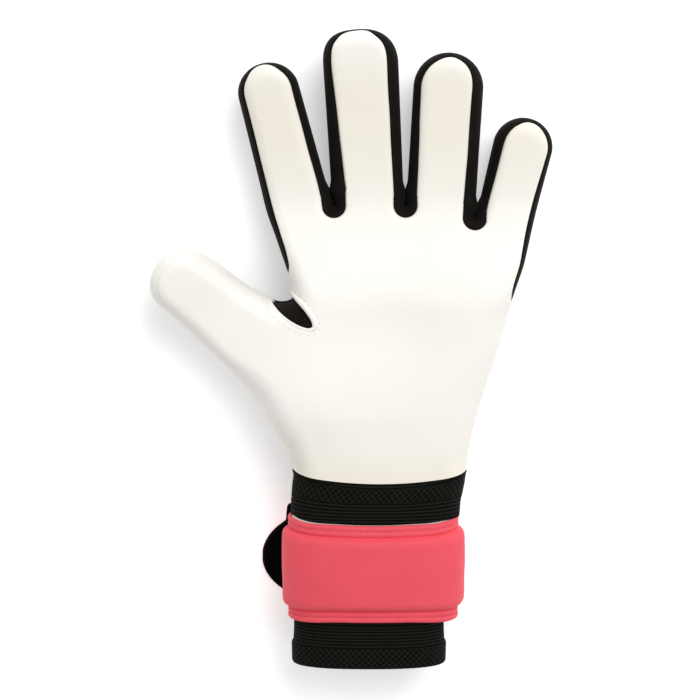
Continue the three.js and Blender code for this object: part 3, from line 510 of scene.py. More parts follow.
def bake(piece: bpy.types.Object, *materials: Material) -> None:
    """Turns a piece with live modifiers into a plain mesh of the same name, with these materials."""
    graph = bpy.context.evaluated_depsgraph_get()
    mesh = bpy.data.meshes.new_from_object(piece.evaluated_get(graph))
    piece.modifiers.clear()
    old = piece.data
    piece.data = mesh
    mesh.name = old.name
    dress(mesh, materials)


def turn_outward(mesh: bpy.types.Mesh) -> None:
    """Makes every face of a closed mesh look outwards."""
    net = bmesh.new()
    net.from_mesh(mesh)
    bmesh.ops.recalc_face_normals(net, faces=net.faces)
    write_back(net, mesh)


def thicken(piece: bpy.types.Object, wall: float) -> None:
    """Gives a surface a wall that lies inside it."""
    solidify = piece.modifiers.new("wall", "SOLIDIFY")
    solidify.thickness = wall * MM
    solidify.offset = -1.0


def cut_away(mesh: bpy.types.Mesh, amount: Callable[[np.ndarray], np.ndarray]) -> None:
    """Cuts a mesh along the line where an amount over it is zero, and drops what lies where it is negative.

    Args:
        mesh: Mesh that is cut.
        amount: Gives the amount at rows of plan millimetres.
    """
    net = bmesh.new()
    net.from_mesh(mesh)
    values = dict(zip(net.verts, amount(in_plan([corner.co for corner in net.verts]))))
    fresh = []
    for edge in list(net.edges):
        first, second = edge.verts
        start, end = values[first], values[second]
        if start * end < 0:
            _, corner = bmesh.utils.edge_split(edge, first, start / (start - end))
            values[corner] = 0.0
            fresh.append(corner)
    bmesh.ops.connect_verts(net, verts=fresh)
    gone = [face for face in net.faces if sum(values[corner] for corner in face.verts) < 0]
    bmesh.ops.delete(net, geom=gone, context="FACES")
    write_back(net, mesh)


def finish_piece(piece: bpy.types.Object, slot: Slot, *nodes: str) -> None:
    """Makes a piece ride on the glove and stand for its CAD nodes."""
    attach(piece, "root")
    if nodes:
        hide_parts(*nodes)
    log.info("%s: %d faces", piece.name, len(piece.data.polygons))


# Node trees for what repeats


@dataclass(frozen=True)
class Stitching:
    """Sizes of a line of lockstitch: from one stitch to the next, and a stitch's length and thread."""

    pitch: float
    length: float
    thread: float


def new_group(name: str, inputs: Sequence[str]) -> tuple[Tree, dict[str, Socket]]:
    """Geometry node group with a geometry and named numbers as its inputs.

    Args:
        name: Name of the group.
        inputs: Names of the inputs; the one named Centre is a place.

    Returns:
        The group, and the sockets of its inputs by name.
    """
    tree = bpy.data.node_groups.new(name, "GeometryNodeTree")
    tree.interface.new_socket("Geometry", in_out="INPUT", socket_type="NodeSocketGeometry")
    for label in inputs:
        kind = "NodeSocketVector" if label == "Centre" else "NodeSocketFloat"
        tree.interface.new_socket(label, in_out="INPUT", socket_type=kind)
    tree.interface.new_socket("Geometry", in_out="OUTPUT", socket_type="NodeSocketGeometry")
    given = add_node(tree, "NodeGroupInput")
    return tree, {socket.name: socket for socket in given.outputs}


def instances(tree: Tree, inputs: dict[str, Socket], material: Material, smooth: bool = False) -> None:
    """Ends a group by setting a seed on points and making the result a real mesh of one material.

    Args:
        tree: The group.
        inputs: Inputs of the node that sets the seed on the points.
        material: Material of the result.
        smooth: Whether its faces are smooth.
    """
    laid = add_node(tree, "GeometryNodeInstanceOnPoints", inputs=inputs)
    last = add_node(tree, "GeometryNodeRealizeInstances", inputs={"Geometry": laid.outputs["Instances"]})
    if smooth:
        last = add_node(tree, "GeometryNodeSetShadeSmooth", inputs={"Geometry": last.outputs["Geometry"]})
    dressed = add_node(tree, "GeometryNodeSetMaterial", inputs={
        "Geometry": last.outputs["Geometry"], "Material": material})
    add_node(tree, "NodeGroupOutput", inputs={"Geometry": dressed.outputs["Geometry"]})


def lay(piece: bpy.types.Object, tree: Tree, settings: dict[str, object], material: Material) -> None:
    """Runs a group on a piece with settings given by name, and keeps the result as a plain mesh."""
    modifier = piece.modifiers.new(tree.name, "NODES")
    modifier.node_group = tree
    for item in tree.interface.items_tree:
        if item.in_out == "INPUT" and item.name in settings:
            modifier[item.identifier] = settings[item.name]
    bake(piece, material)


def stitch_tree(material: Material) -> Tree:
    """Stitches along a path: one short thread for each pitch, along the path."""
    tree, given = new_group("stitches", ("Pitch", "Stitch length", "Thread"))
    line = add_node(tree, "GeometryNodeMeshToCurve", inputs={"Mesh": given["Geometry"]})
    even = add_node(tree, "GeometryNodeResampleCurve", {"mode": "LENGTH"}, {
        "Curve": line.outputs["Curve"], "Length": given["Pitch"]})
    points = add_node(tree, "GeometryNodeCurveToPoints", {"mode": "EVALUATED"}, {"Curve": even.outputs["Curve"]})
    seed = add_node(tree, "GeometryNodeMeshIcoSphere", inputs={"Radius": 0.5, "Subdivisions": 2})
    turned = add_node(tree, "FunctionNodeAlignRotationToVector", {"axis": "X"}, {
        "Vector": points.outputs["Tangent"]})
    size = add_node(tree, "ShaderNodeCombineXYZ", inputs={
        "X": given["Stitch length"], "Y": given["Thread"], "Z": given["Thread"]})
    instances(tree, {"Points": points.outputs["Points"], "Instance": seed.outputs["Mesh"],
                     "Rotation": turned.outputs["Rotation"], "Scale": size.outputs["Vector"]}, material, True)
    return tree


def lay_stitches(name: str, path: np.ndarray, stitching: Stitching, thread: Material, slot: Slot) -> None:
    """Lays a line of stitches along a path.

    Args:
        name: Name of the piece.
        path: Places in plan millimetres.
        stitching: Sizes of the stitches.
        thread: Material of the thread.
        slot: Not used.
    """
    mesh = bpy.data.meshes.new(name)
    mesh.from_pydata(placed(path).tolist(), [(index, index + 1) for index in range(len(path) - 1)], [])
    piece = new_piece(name, mesh)
    settings = {"Pitch": stitching.pitch * MM, "Stitch length": stitching.length * MM,
                "Thread": stitching.thread * MM}
    lay(piece, stitch_tree(thread), settings, thread)
    finish_piece(piece, slot)


# Hand


@dataclass(frozen=True)
class Finger:
    """One finger: widths, lengths and margins as shares, its lean in degrees, its tip's two oval exponents."""

    name: str
    root: float
    tip: float
    round: float
    long: float
    up: float
    lean: float
    thumb_margins: tuple[float, float]
    little_margins: tuple[float, float]
    over: float
    power: float = 2.0
    thumb_power: float = 2.0


@dataclass
class HandForm:
    """Form of the hand's shell: plan places, and heights of its back and palm over the plan."""

    palm_length: float = 124.2
    wrist_width: float = 77.4
    wrist_depth: float = 39.0
    palm_depth: float = 41.0
    row_shift: float = 9.5
    finger_length: float = 80.2
    finger_width: float = 33.5
    finger_depth: float = 26.0
    slit: float = 0.9
    thumb_out: float = 56.5
    thumb_up: float = 66.2
    thumb_length: float = 55.4
    thumb_width: float = 32.4
    thumb_depth: float = 28.0
    thumb_lean: float = 52.3
    hem_sag: float = 4.3
    hem_base: float = 10.2
    fingertip_lift: float = 10.0
    thumb_lift: float = 16.0
    wrist_lift: float = 3.0
    finger_roll: float = 8.5
    palm_roll: float = 13.0
    thenar_rise: float = 4.5
    thenar_radius: float = 24.0
    hollow_depth: float = 3.0
    hollow_radius: float = 22.0
    roundness: float = 2.4
    seam_level: float = -0.2
    back_margin: float = 3.5
    spacing: float = 1.25
    fingers: tuple[Finger, ...] = (
        Finger("index", 0.916, 0.833, 0.95, 0.838, 1.0, 14.3, (0.09, 0.1), (0.09, 0.1), 0.044),
        Finger("middle", 0.934, 1.009, 0.96, 1.0, 1.0, 3.6, (0.107, 0.19), (0.155, 0.128), 0.042,
               power=2.3, thumb_power=2.8),
        Finger("ring", 0.904, 0.94, 1.014, 0.901, 0.982, -3.6, (0.084, 0.113), (0.161, 0.176), 0.056),
        Finger("little", 0.863, 0.806, 1.0, 0.587, 0.96, -12.1, (0.11, 0.084), (0.075, 0.096), 0.052),
    )
    # Crotches: up the palm, slit as a share of the finger's length, lean, margin.
    crotches: tuple[tuple[float, float, float, float], ...] = (
        (1.018, 0.1, 16.0, 0.124), (1.019, 0.092, -1.0, 0.124), (0.976, 0.083, -16.7, 0.124))
    # Little side from the wrist up: share of the root's height, share of the way out, margin.
    little_edge: tuple[tuple[float, float, float], ...] = (
        (0.0, 0.0, 0.0), (0.1, 0.0, 0.0), (0.164, 0.031, 0.0), (0.304, 0.156, 0.0), (0.429, 0.309, 0.0),
        (0.561, 0.46, 0.0), (0.62, 0.52, 0.0), (0.664, 0.565, 0.004), (0.717, 0.635, 0.048),
        (0.777, 0.715, 0.075), (0.838, 0.797, 0.081), (0.9, 0.856, 0.088), (1.0, 0.945, 0.096))
    # Index side below its root: share of the way down to the thumb's crotch, margin.
    index_edge: tuple[tuple[float, float], ...] = ((0.3, 0.085), (0.55, 0.08), (0.78, 0.055), (0.93, 0.02))
    # Thumb's crotch and near side: shares of its length and width from its base.
    thumb_near: tuple[tuple[float, float], ...] = (
        (0.047, 0.953), (-0.022, 0.8), (0.003, 0.7), (0.092, 0.62), (0.33, 0.57), (0.55, 0.575))
    # Its round tip in the same shares: its middle, half width, length, and the oval's two exponents.
    thumb_tip: tuple[float, float, float, float, float, float] = (0.7, 0.105, 0.46, 0.284, 2.05, 2.45)
    # Its far side, from the tip down.
    thumb_far: tuple[tuple[float, float], ...] = ((0.606, -0.37), (0.355, -0.428), (0.108, -0.471))
    # Outer side below the thumb: share of the thumb's height, share of the way out to its base.
    thenar_edge: tuple[tuple[float, float], ...] = (
        (0.774, 1.412), (0.62, 0.93), (0.482, 0.645), (0.378, 0.42), (0.296, 0.226), (0.195, 0.073), (0.12, 0.0))
    draft: float = 20.0  # the shell is drawn this far past the plan's zero and cut off at its hem

    def __post_init__(self) -> None:
        """Works out the places that depend on the sizes."""
        widths = [finger.root * self.finger_width for finger in self.fingers]
        self.row_start = self.row_shift - sum(widths) / 2
        self.borders = [self.row_start + sum(widths[:count]) for count in range(len(widths) + 1)]
        self.wrist_edge = self.wrist_width / 2
        self.thumb_base = np.array([-self.thumb_out, self.thumb_up])
        self.thumb_along = leaning(self.thumb_lean)
        self.thumb_side = side_of(self.thumb_along)

    def thumb_point(self, along: float, side: float) -> np.ndarray:
        """Plan point by shares of the thumb's length and width from its base."""
        return (self.thumb_base + self.thumb_along * along * self.thumb_length
                + self.thumb_side * side * self.thumb_width)

    def thumb_share(self, x: np.ndarray, y: np.ndarray) -> tuple[np.ndarray, np.ndarray]:
        """How far along the thumb a plan point lies, and how far the thumb rules it."""
        dx, dy = x - self.thumb_base[0], y - self.thumb_base[1]
        along = (dx * self.thumb_along[0] + dy * self.thumb_along[1]) / self.thumb_length
        side = (dx * self.thumb_side[0] + dy * self.thumb_side[1]) / self.thumb_width
        return along, 1 - ramp(side, 0.78, 1.1)

    def back(self, x: np.ndarray, y: np.ndarray) -> np.ndarray:
        """Height of the back of the glove."""
        along, rules = self.thumb_share(x, y)
        finger = ramp(y, self.palm_length * 0.95, self.palm_length + self.finger_length * 1.25)
        wrist = 1 - ramp(y, 0, self.palm_length * 0.25)
        return (self.fingertip_lift * 1.15 * finger * (1 - rules * ramp(along, 0, 0.3))
                + self.thumb_lift * ramp(along, -0.25, 1.1) * rules + self.wrist_lift * wrist)

    def mound(self, x: np.ndarray, y: np.ndarray, centre: tuple[float, float], radius: float) -> np.ndarray:
        """Soft round rise of height 1."""
        return np.exp(-((x - centre[0]) ** 2 + (y - centre[1]) ** 2) / radius ** 2)

    def depth(self, x: np.ndarray, y: np.ndarray) -> np.ndarray:
        """Depth of the glove from its back to its palm."""
        along, rules = self.thumb_share(x, y)
        palm = 1 - ramp(y, self.palm_length * 0.66, self.palm_length * 1.06)
        wrist = 1 - ramp(y, 0, self.palm_length * 0.3)
        hand = lerp(lerp(self.finger_depth, self.palm_depth, palm), self.wrist_depth, wrist)
        whole = lerp(hand, self.thumb_depth, ramp(along, -0.3, 0.5) * rules)
        thenar = self.mound(x, y, (-self.thumb_out * 0.62, self.thumb_up * 0.62), self.thenar_radius)
        hollow = self.mound(x, y, (self.wrist_width * 0.1, self.palm_length * 0.6), self.hollow_radius)
        return whole + self.thenar_rise * thenar - self.hollow_depth * hollow

    def palm(self, x: np.ndarray, y: np.ndarray) -> np.ndarray:
        """Height of the palm."""
        return self.back(x, y) + self.depth(x, y)

    def roll(self, x: np.ndarray, y: np.ndarray) -> np.ndarray:
        """How far in from the outline the rounding of the edge reaches."""
        along, rules = self.thumb_share(x, y)
        palm = 1 - ramp(y, self.palm_length * 0.6, self.palm_length * 0.97)
        return lerp(self.finger_roll, self.palm_roll, palm * (1 - rules * ramp(along, -0.3, 0.2)))

    def hem(self, x: np.ndarray) -> np.ndarray:
        """How far up the wrist's hem lies."""
        out = np.minimum(np.abs(x), self.wrist_edge) / self.wrist_edge
        return self.hem_base + self.hem_sag * (out ** 2 - 1)


@dataclass
class Outline:
    """Hand's outline as columns, from the wrist's little side round the fingers and the thumb to its other side.

    Each column has its place, the width of gusset that shows beside the palm, and its way in.
    """

    form: HandForm
    marks: dict[str, int] = field(default_factory=dict)

    def __post_init__(self) -> None:
        """Draws the outline and its inward directions."""
        rows = self.drawn()
        self.x, self.y, self.margin = rows[:, 0], rows[:, 1], np.maximum(rows[:, 2], 0.0)
        step = np.gradient(rows[:, :2], axis=0)
        way = np.stack([-step[:, 1], step[:, 0]], axis=1)
        way /= np.linalg.norm(way, axis=1)[:, None]
        soft = way.copy()
        soft[1:-1] += way[:-2] + way[2:]
        self.inward = soft / np.linalg.norm(soft, axis=1)[:, None]

    def drawn(self) -> np.ndarray:
        """Draws the outline.

        Returns:
            Rows of x, y and margin in millimetres.
        """
        form = self.form
        little = form.fingers[3]
        edge = form.borders[-1]
        root_up = little.up * form.palm_length
        rows = [(form.wrist_edge, -form.draft, 0.0), (form.wrist_edge, -form.draft / 2, 0.0)]
        for up, out, margin in form.little_edge:
            rows.append((lerp(form.wrist_edge, edge, out), up * root_up, margin * form.finger_width))
        start = self.tip(little)[0]
        rows.append(tuple(lerp(np.array(rows[-1]), start, 0.5)))
        rows.append(tuple(start))
        runs = [through(rows, form.spacing)]
        for index in reversed(range(len(form.fingers))):
            runs.append(self.tip(form.fingers[index]))
            total = sum(len(run) for run in runs)
            self.marks[form.fingers[index].name] = total - len(runs[-1]) // 2 - 1
            if index:
                runs.append(self.crotch(index))
        runs.append(self.index_side())
        self.marks["index_end"] = sum(len(run) for run in runs)
        runs.append(self.thumb_side())
        joined = [runs[0]]
        for run in runs[1:]:
            gap = np.hypot(*(run[0, :2] - joined[-1][-1, :2]))
            joined.append(run[1:] if gap < 0.05 else run)
            if gap < 0.05:
                shifted = sum(len(part) for part in joined[:-1])
                self.marks = {name: mark - 1 if mark >= shifted else mark for name, mark in self.marks.items()}
        return np.vstack(joined)

    def root(self, finger: Finger) -> np.ndarray:
        """Middle of a finger's root."""
        index = self.form.fingers.index(finger)
        return np.array([(self.form.borders[index] + self.form.borders[index + 1]) / 2,
                         finger.up * self.form.palm_length])

    def tip(self, finger: Finger) -> np.ndarray:
        """Round end of a finger, from its little side to its thumb side, as rows of x, y and margin."""
        form = self.form
        along, half = leaning(finger.lean), finger.tip * form.finger_width / 2
        long = half * finger.round
        centre = self.root(finger) + along * (finger.long * form.finger_length - long)
        turn = np.linspace(0, math.pi, 37)
        power = 2 / np.where(turn < math.pi / 2, finger.power, finger.thumb_power)
        across = np.sign(np.cos(turn)) * np.abs(np.cos(turn)) ** power * half
        up = np.sin(turn) ** power * long
        side = np.where(turn < math.pi / 2, finger.little_margins[0], finger.thumb_margins[0])
        margin = lerp(side, finger.over, np.sin(turn) ** 2) * form.finger_width
        places = centre + across[:, None] * side_of(along) + up[:, None] * along
        return np.column_stack([places, margin])

    def crotch(self, index: int) -> np.ndarray:
        """Run from one finger's thumb side down its slit and up the next finger's little side."""
        form = self.form
        littler, thumbward = form.fingers[index], form.fingers[index - 1]
        share, slit, lean, margin = form.crotches[index - 1]
        bottom = np.array([form.borders[index], share * form.palm_length])
        up, half = leaning(lean), form.slit / 2
        side = side_of(up)
        top = bottom + up * slit * form.finger_length
        first = littler.thumb_margins[1] * form.finger_width
        last = thumbward.little_margins[1] * form.finger_width
        start, end = self.tip(littler)[-1], self.tip(thumbward)[0]
        middle = margin * form.finger_width
        near, far = np.array([*(top + side * half), first]), np.array([*(top - side * half), last])
        down = through([start, lerp(start, near, 0.5), near,
                        [*lerp(top, bottom, 0.5) + side * half, lerp(first, middle, 0.4)]], form.spacing)
        turn = np.linspace(0, math.pi, 15)
        arc = bottom + np.cos(turn)[:, None] * side * half + (half * (1 - np.sin(turn)))[:, None] * up
        arc = np.column_stack([arc, np.full(len(turn), middle)])
        rise = through([[*lerp(bottom, top, 0.5) - side * half, lerp(last, middle, 0.4)],
                        far, lerp(far, end, 0.5), end], form.spacing)
        lead = resampled(np.vstack([down[-1], arc[0]]), form.spacing)
        leave = resampled(np.vstack([arc[-1], rise[0]]), form.spacing)
        return np.vstack([down[1:-1], lead[:-1], arc, leave[1:], rise[1:-1]])

    def index_side(self) -> np.ndarray:
        """Thumb side of the index finger down to the thumb's crotch."""
        form = self.form
        index = form.fingers[0]
        start = self.tip(index)[-1]
        root = np.array([form.row_start, self.root(index)[1], index.thumb_margins[1] * form.finger_width])
        corner = form.thumb_point(*form.thumb_near[0])
        rows = [start, lerp(start, root, 0.35), lerp(start, root, 0.7), root]
        for down, margin in form.index_edge:
            rows.append([*lerp(root[:2], corner, down), margin * form.finger_width])
        return through(rows, form.spacing)[1:]

    def thumb_side(self) -> np.ndarray:
        """Thumb's crotch, the thumb, and the outer side of the palm down to the wrist."""
        form = self.form
        near = [form.thumb_point(along, side) for along, side in form.thumb_near]
        middle_along, middle_side, wide, long, near_power, far_power = form.thumb_tip
        tip = []
        for turn in np.linspace(0, math.pi, 13):
            power = lerp(near_power, far_power, turn / math.pi)
            across = math.copysign(abs(math.cos(turn)) ** (2 / power), math.cos(turn)) * wide
            up = max(0.0, math.sin(turn)) ** (2 / power) * long
            tip.append(form.thumb_point(middle_along + up, middle_side + across))
        far = [form.thumb_point(along, side) for along, side in form.thumb_far]
        outer = [np.array([lerp(-form.wrist_edge, -form.thumb_out, out), up * form.thumb_up])
                 for up, out in form.thenar_edge]
        wrist = [np.array([-form.wrist_edge, -form.draft * share]) for share in (0.5, 1.0)]
        rows = through([*near, *tip, *far, *outer, *wrist], form.spacing)
        return np.column_stack([rows, np.zeros(len(rows))])


@dataclass
class HandShell:
    """Sewn shell of the hand: latex palm, back panel, gussets, and the thumb crotch's oval with its rim."""

    form: HandForm
    finishes: Finishes
    palm_wall: float = 3.6
    back_wall: float = 3.0
    gusset_wall: float = 1.8
    tuck: float = 1.3
    seam_dip: float = 0.9
    back_dip: float = 0.9
    crotch_press: float = 1.0
    cap_spacing: float = 2.0
    samples: int = 97
    oval_place: tuple[float, float] = (-0.043, 0.724)
    oval_size: tuple[float, float] = (26.6, 8.3)
    oval_sunk: float = 1.1
    oval_tuck: float = 0.9
    oval_stitch_out: float = 3.0
    oval_stitching: Stitching = Stitching(2.9, 1.9, 0.3)
    rim_radius: float = 1.3
    rim_thin: float = 0.5
    rim_steps: int = 14
    shown_margin: float = 2.2  # from this margin on, a gusset shows in full
    seam_gap: float = 0.3
    tip_groove: tuple[float, float, float] = (3.6, 0.4, 0.4)  # way in, depth and width of the thumb tip's groove
    wave: tuple[float, float] = (0.35, 17.0)  # height and size of the foam's unevenness
    fold: tuple[tuple[float, float], tuple[float, float]] = ((-57.5, 40.9), (-49.5, 37.2))
    fold_size: tuple[float, float] = (1.0, 1.1)  # depth and width of the pressed fold
    mesh_sunk: tuple[float, float] = (0.45, 1.3)  # how far the mesh lies in, and further in at its tucked edges

    def __post_init__(self) -> None:
        """Sweeps the rounded profile round the outline."""
        form, outline = self.form, Outline(self.form)
        self.outline = outline
        count = len(outline.x)
        angle = np.linspace(math.pi / 2, -math.pi / 2, self.samples)
        power = 2 / form.roundness
        inset = 1 - np.clip(np.cos(angle), 0, 1) ** power
        level = np.sign(angle) * np.abs(np.sin(angle)) ** power
        reach = form.roll(outline.x, outline.y)
        x = outline.x[:, None] + outline.inward[:, :1] * reach[:, None] * inset
        y = outline.y[:, None] + outline.inward[:, 1:] * reach[:, None] * inset
        z = lerp(form.back(x, y), form.palm(x, y), (level + 1) / 2)
        self.profile = np.stack([x, y, z], axis=2)
        steps = np.linalg.norm(np.diff(self.profile, axis=1), axis=2)
        self.travel = np.concatenate([np.zeros((count, 1)), np.cumsum(steps, axis=1)], axis=1)
        self.inset = reach[:, None] * inset
        seam = math.asin(abs(form.seam_level) ** (1 / power)) * np.sign(form.seam_level)
        self.shown = ramp(outline.margin, 0.0, self.shown_margin)
        palm_angle = np.arccos((1 - outline.margin / reach) ** (1 / power))
        back_angle = -np.arccos((1 - np.minimum(outline.margin, form.back_margin) / reach) ** (1 / power))
        self.palm_edge = self.travel_at(lerp(seam, palm_angle, self.shown))
        self.back_edge = self.travel_at(lerp(seam, back_angle, self.shown))
        self.total = self.travel[:, -1]

    def travel_at(self, angles: np.ndarray) -> np.ndarray:
        """Travel from the palm's top down to an angle of the profile, for each column."""
        spot = (math.pi / 2 - angles) / math.pi * (self.samples - 1)
        numbers = np.arange(self.samples)
        return np.array([np.interp(place, numbers, travel) for place, travel in zip(spot, self.travel)])

    def rows_at(self, travels: np.ndarray) -> np.ndarray:
        """Places on the profile by travel.

        Args:
            travels: Travel for each column and row.

        Returns:
            Places, columns first, then rows.
        """
        result = np.empty((*travels.shape, 3))
        for column, (known, profile) in enumerate(zip(self.travel, self.profile)):
            for axis in range(3):
                result[column, :, axis] = np.interp(travels[column], known, profile[:, axis])
        return result

    def outward(self, grid: np.ndarray) -> np.ndarray:
        """Outward directions of a grid of columns and rows."""
        along = np.gradient(grid, axis=0)
        down = np.gradient(grid, axis=1)
        way = np.cross(down, along)
        return way / np.maximum(np.linalg.norm(way, axis=2), 1e-9)[:, :, None]

    def relief(self, places: np.ndarray) -> np.ndarray:
        """Soft unevenness of the sewn foam at some places, in millimetres."""
        flat = places.reshape(-1, 3)
        rise, size = self.wave
        slow = np.array([noise.noise(Vector(place / size)) for place in flat]) * rise
        start, end = np.array(self.fold)
        depth, width = self.fold_size
        way = end - start
        share = np.clip(((flat[:, :2] - start) @ way) / (way @ way), 0, 1)
        away = np.linalg.norm(flat[:, :2] - start - share[:, None] * way, axis=1)
        fold = -depth * np.exp(-(away / width) ** 2) * (1 - share)
        return (slow + fold).reshape(places.shape[:-1])

    def cap(self, ring: np.ndarray, height: Callable[[np.ndarray, np.ndarray], np.ndarray],
            first: int) -> tuple[np.ndarray, list[tuple[int, ...]]]:
        """Fills the plan inside a ring of columns.

        Args:
            ring: Plan of the ring, whose vertices are the first ones of the mesh.
            height: Height over the plan.
            first: Number that the first new vertex gets.

        Returns:
            New vertices, and triangles that are counterclockwise seen from above.
        """
        low, high = ring.min(axis=0), ring.max(axis=0)
        row_height = self.cap_spacing * math.sqrt(3) / 2
        inner = []
        for row, y in enumerate(np.arange(low[1] + row_height / 2, high[1], row_height)):
            for x in np.arange(low[0] + (row % 2) * self.cap_spacing / 2, high[0], self.cap_spacing):
                inner.append((x, y))
        inner = np.array(inner)
        x, y = inner[:, 0], inner[:, 1]
        inside = np.zeros(len(inner), bool)
        near = np.full(len(inner), 1e9)
        for start, end in zip(ring, np.roll(ring, -1, axis=0)):
            crosses = (start[1] > y) != (end[1] > y)
            with np.errstate(divide="ignore", invalid="ignore"):
                where = (end[0] - start[0]) * (y - start[1]) / (end[1] - start[1]) + start[0]
            inside ^= crosses & (x < where)
            near = np.minimum(near, np.hypot(x - start[0], y - start[1]))
        inner = inner[inside & (near > self.cap_spacing * 0.6)]
        count = len(ring)
        points = [Vector(place) for place in np.vstack([ring, inner])]
        _, _, triangles, origins, *_ = delaunay_2d_cdt(points, [], [list(range(count))], 1, 1e-6)
        number = [(origin[0] if origin else -1) for origin in origins]
        faces = []
        for triangle in triangles:
            corners = [number[corner] for corner in triangle]
            if -1 not in corners:
                faces.append(tuple(corner if corner < count else first + corner - count for corner in corners))
        heights = height(inner[:, 0], inner[:, 1])
        return np.column_stack([inner, heights]), faces

    def cut_at_hem(self, mesh: bpy.types.Mesh) -> None:
        """Cuts a shell's mesh off along the wrist's sagging hem."""
        cut_away(mesh, lambda places: places[:, 1] - self.form.hem(places[:, 0]))

    def beyond_oval(self, places: np.ndarray, growth: float = 0.0) -> np.ndarray:
        """How far places lie outside the thumb crotch's oval: negative inside it.

        Args:
            places: Rows of plan millimetres.
            growth: How much larger the oval is taken all round.

        Returns:
            About the distance in millimetres.
        """
        away = places[:, :2] - self.form.thumb_point(*self.oval_place)
        along, side = away @ self.form.thumb_along, away @ self.form.thumb_side
        share = np.hypot(along / (self.oval_size[0] / 2 + growth), side / (self.oval_size[1] / 2 + growth))
        return np.hypot(along, side) * (1 - 1 / np.maximum(share, 0.02))

    def edge_dip(self, distance: np.ndarray, depth: float) -> np.ndarray:
        """How far a panel turns in at a distance from its seam."""
        return depth * np.exp(-(distance / 0.75) ** 2)

    def palm_surface(self) -> bpy.types.Mesh:
        """Outer face of the latex, from its crown down to its seam."""
        edge = self.palm_edge[:, None]
        near = np.minimum(1.0, edge * 0.16)  # narrow fingers have less room for the rows beside the seam
        tail = edge - near * np.array([2.4, 1.6, 1.0, 0.6, 0.3, 0.0])
        spread = np.minimum(1.0, edge * 0.08)
        half = self.samples // 2
        way_in, groove_depth, groove_width = self.tip_groove
        groove_at = np.array([np.interp(way_in, inset[half::-1], travel[half::-1])
                              for inset, travel in zip(self.inset, self.travel)])[:, None]
        groove_at = np.minimum(groove_at, edge * 0.45)
        groove = groove_at + spread * np.array([-1.0, -0.5, -0.2, 0.2, 0.5, 1.0])
        upper = (groove_at - spread) * np.linspace(0, 1, 9)[None, :-1]
        lower = groove[:, -1:] + (tail[:, :1] - groove[:, -1:]) * np.linspace(0, 1, 10)[None, 1:-1]
        travels = np.concatenate([upper, groove, lower, tail], axis=1)
        grid = self.rows_at(travels)
        out = self.outward(grid)
        dip = self.edge_dip(edge - travels, self.seam_dip)
        depth = groove_depth * self.thumb_tip_weight()[:, None]
        dip += depth * np.exp(-((travels - groove_at) / groove_width) ** 2)
        fade = ramp(travels, 0.0, 4.0)
        grid = grid + out * (self.relief(grid) * fade - dip)[:, :, None]
        count, rows = grid.shape[:2]
        vertices = grid.transpose(1, 0, 2).reshape(-1, 3)
        inner, faces = self.cap(grid[:, 0, :2], self.form.palm, count * rows)
        return new_mesh("latex_palm", np.vstack([vertices, inner]), [*grid_faces(rows, count), *faces])

    def thumb_tip_weight(self) -> np.ndarray:
        """How far each column belongs to the thumb's round tip."""
        along, _ = self.form.thumb_share(self.outline.x, self.outline.y)
        start = self.outline.marks["index_end"]
        on_thumb = np.arange(len(self.outline.x)) >= start
        return ramp(along, 0.72, 0.86) * on_thumb

    def back_surface(self) -> bpy.types.Mesh:
        """Outer face of the back panel, from its seam down to what it lies on."""
        head = np.array([0.0, 0.3, 0.6, 1.0, 1.6, 2.4])
        start = self.back_edge + self.seam_gap
        share = np.linspace(0, 1, 15)[None, 1:]
        body = (start + head[-1])[:, None] + (self.total - start - head[-1])[:, None] * share
        travels = np.concatenate([start[:, None] + head, body], axis=1)
        grid = self.rows_at(travels)
        beyond = travels - start[:, None]
        bare = (1 - self.shown)[:, None]
        dip = self.edge_dip(beyond, self.seam_dip) + self.back_dip * bare * np.exp(-(beyond / 4.5) ** 2)
        grid = grid - self.outward(grid) * dip[:, :, None]
        count, rows = grid.shape[:2]
        vertices = grid.transpose(1, 0, 2).reshape(-1, 3)
        first = count * (rows - 1)
        inner, faces = self.cap(grid[:, -1, :2], self.form.back, count)
        bottom = [tuple(first + corner for corner in reversed(face)) for face in faces]
        return new_mesh("backhand", np.vstack([vertices, inner]), [*grid_faces(rows, count), *bottom])

    def pressed(self) -> np.ndarray:
        """How far each column lies in a crotch, where the gussets of two fingers press on each other."""
        form = self.form
        result = np.zeros(len(self.outline.x))
        for index, (share, slit, _, _) in enumerate(form.crotches, start=1):
            away = np.hypot(self.outline.x - form.borders[index], self.outline.y - share * form.palm_length)
            long = slit * form.finger_length
            within = 1 - ramp(away, long * 0.8, long * 1.5)
            at_bottom = lerp(0.85, 1.0, ramp(away, 0.4, 1.4))
            result = np.maximum(result, within * at_bottom)
        return result

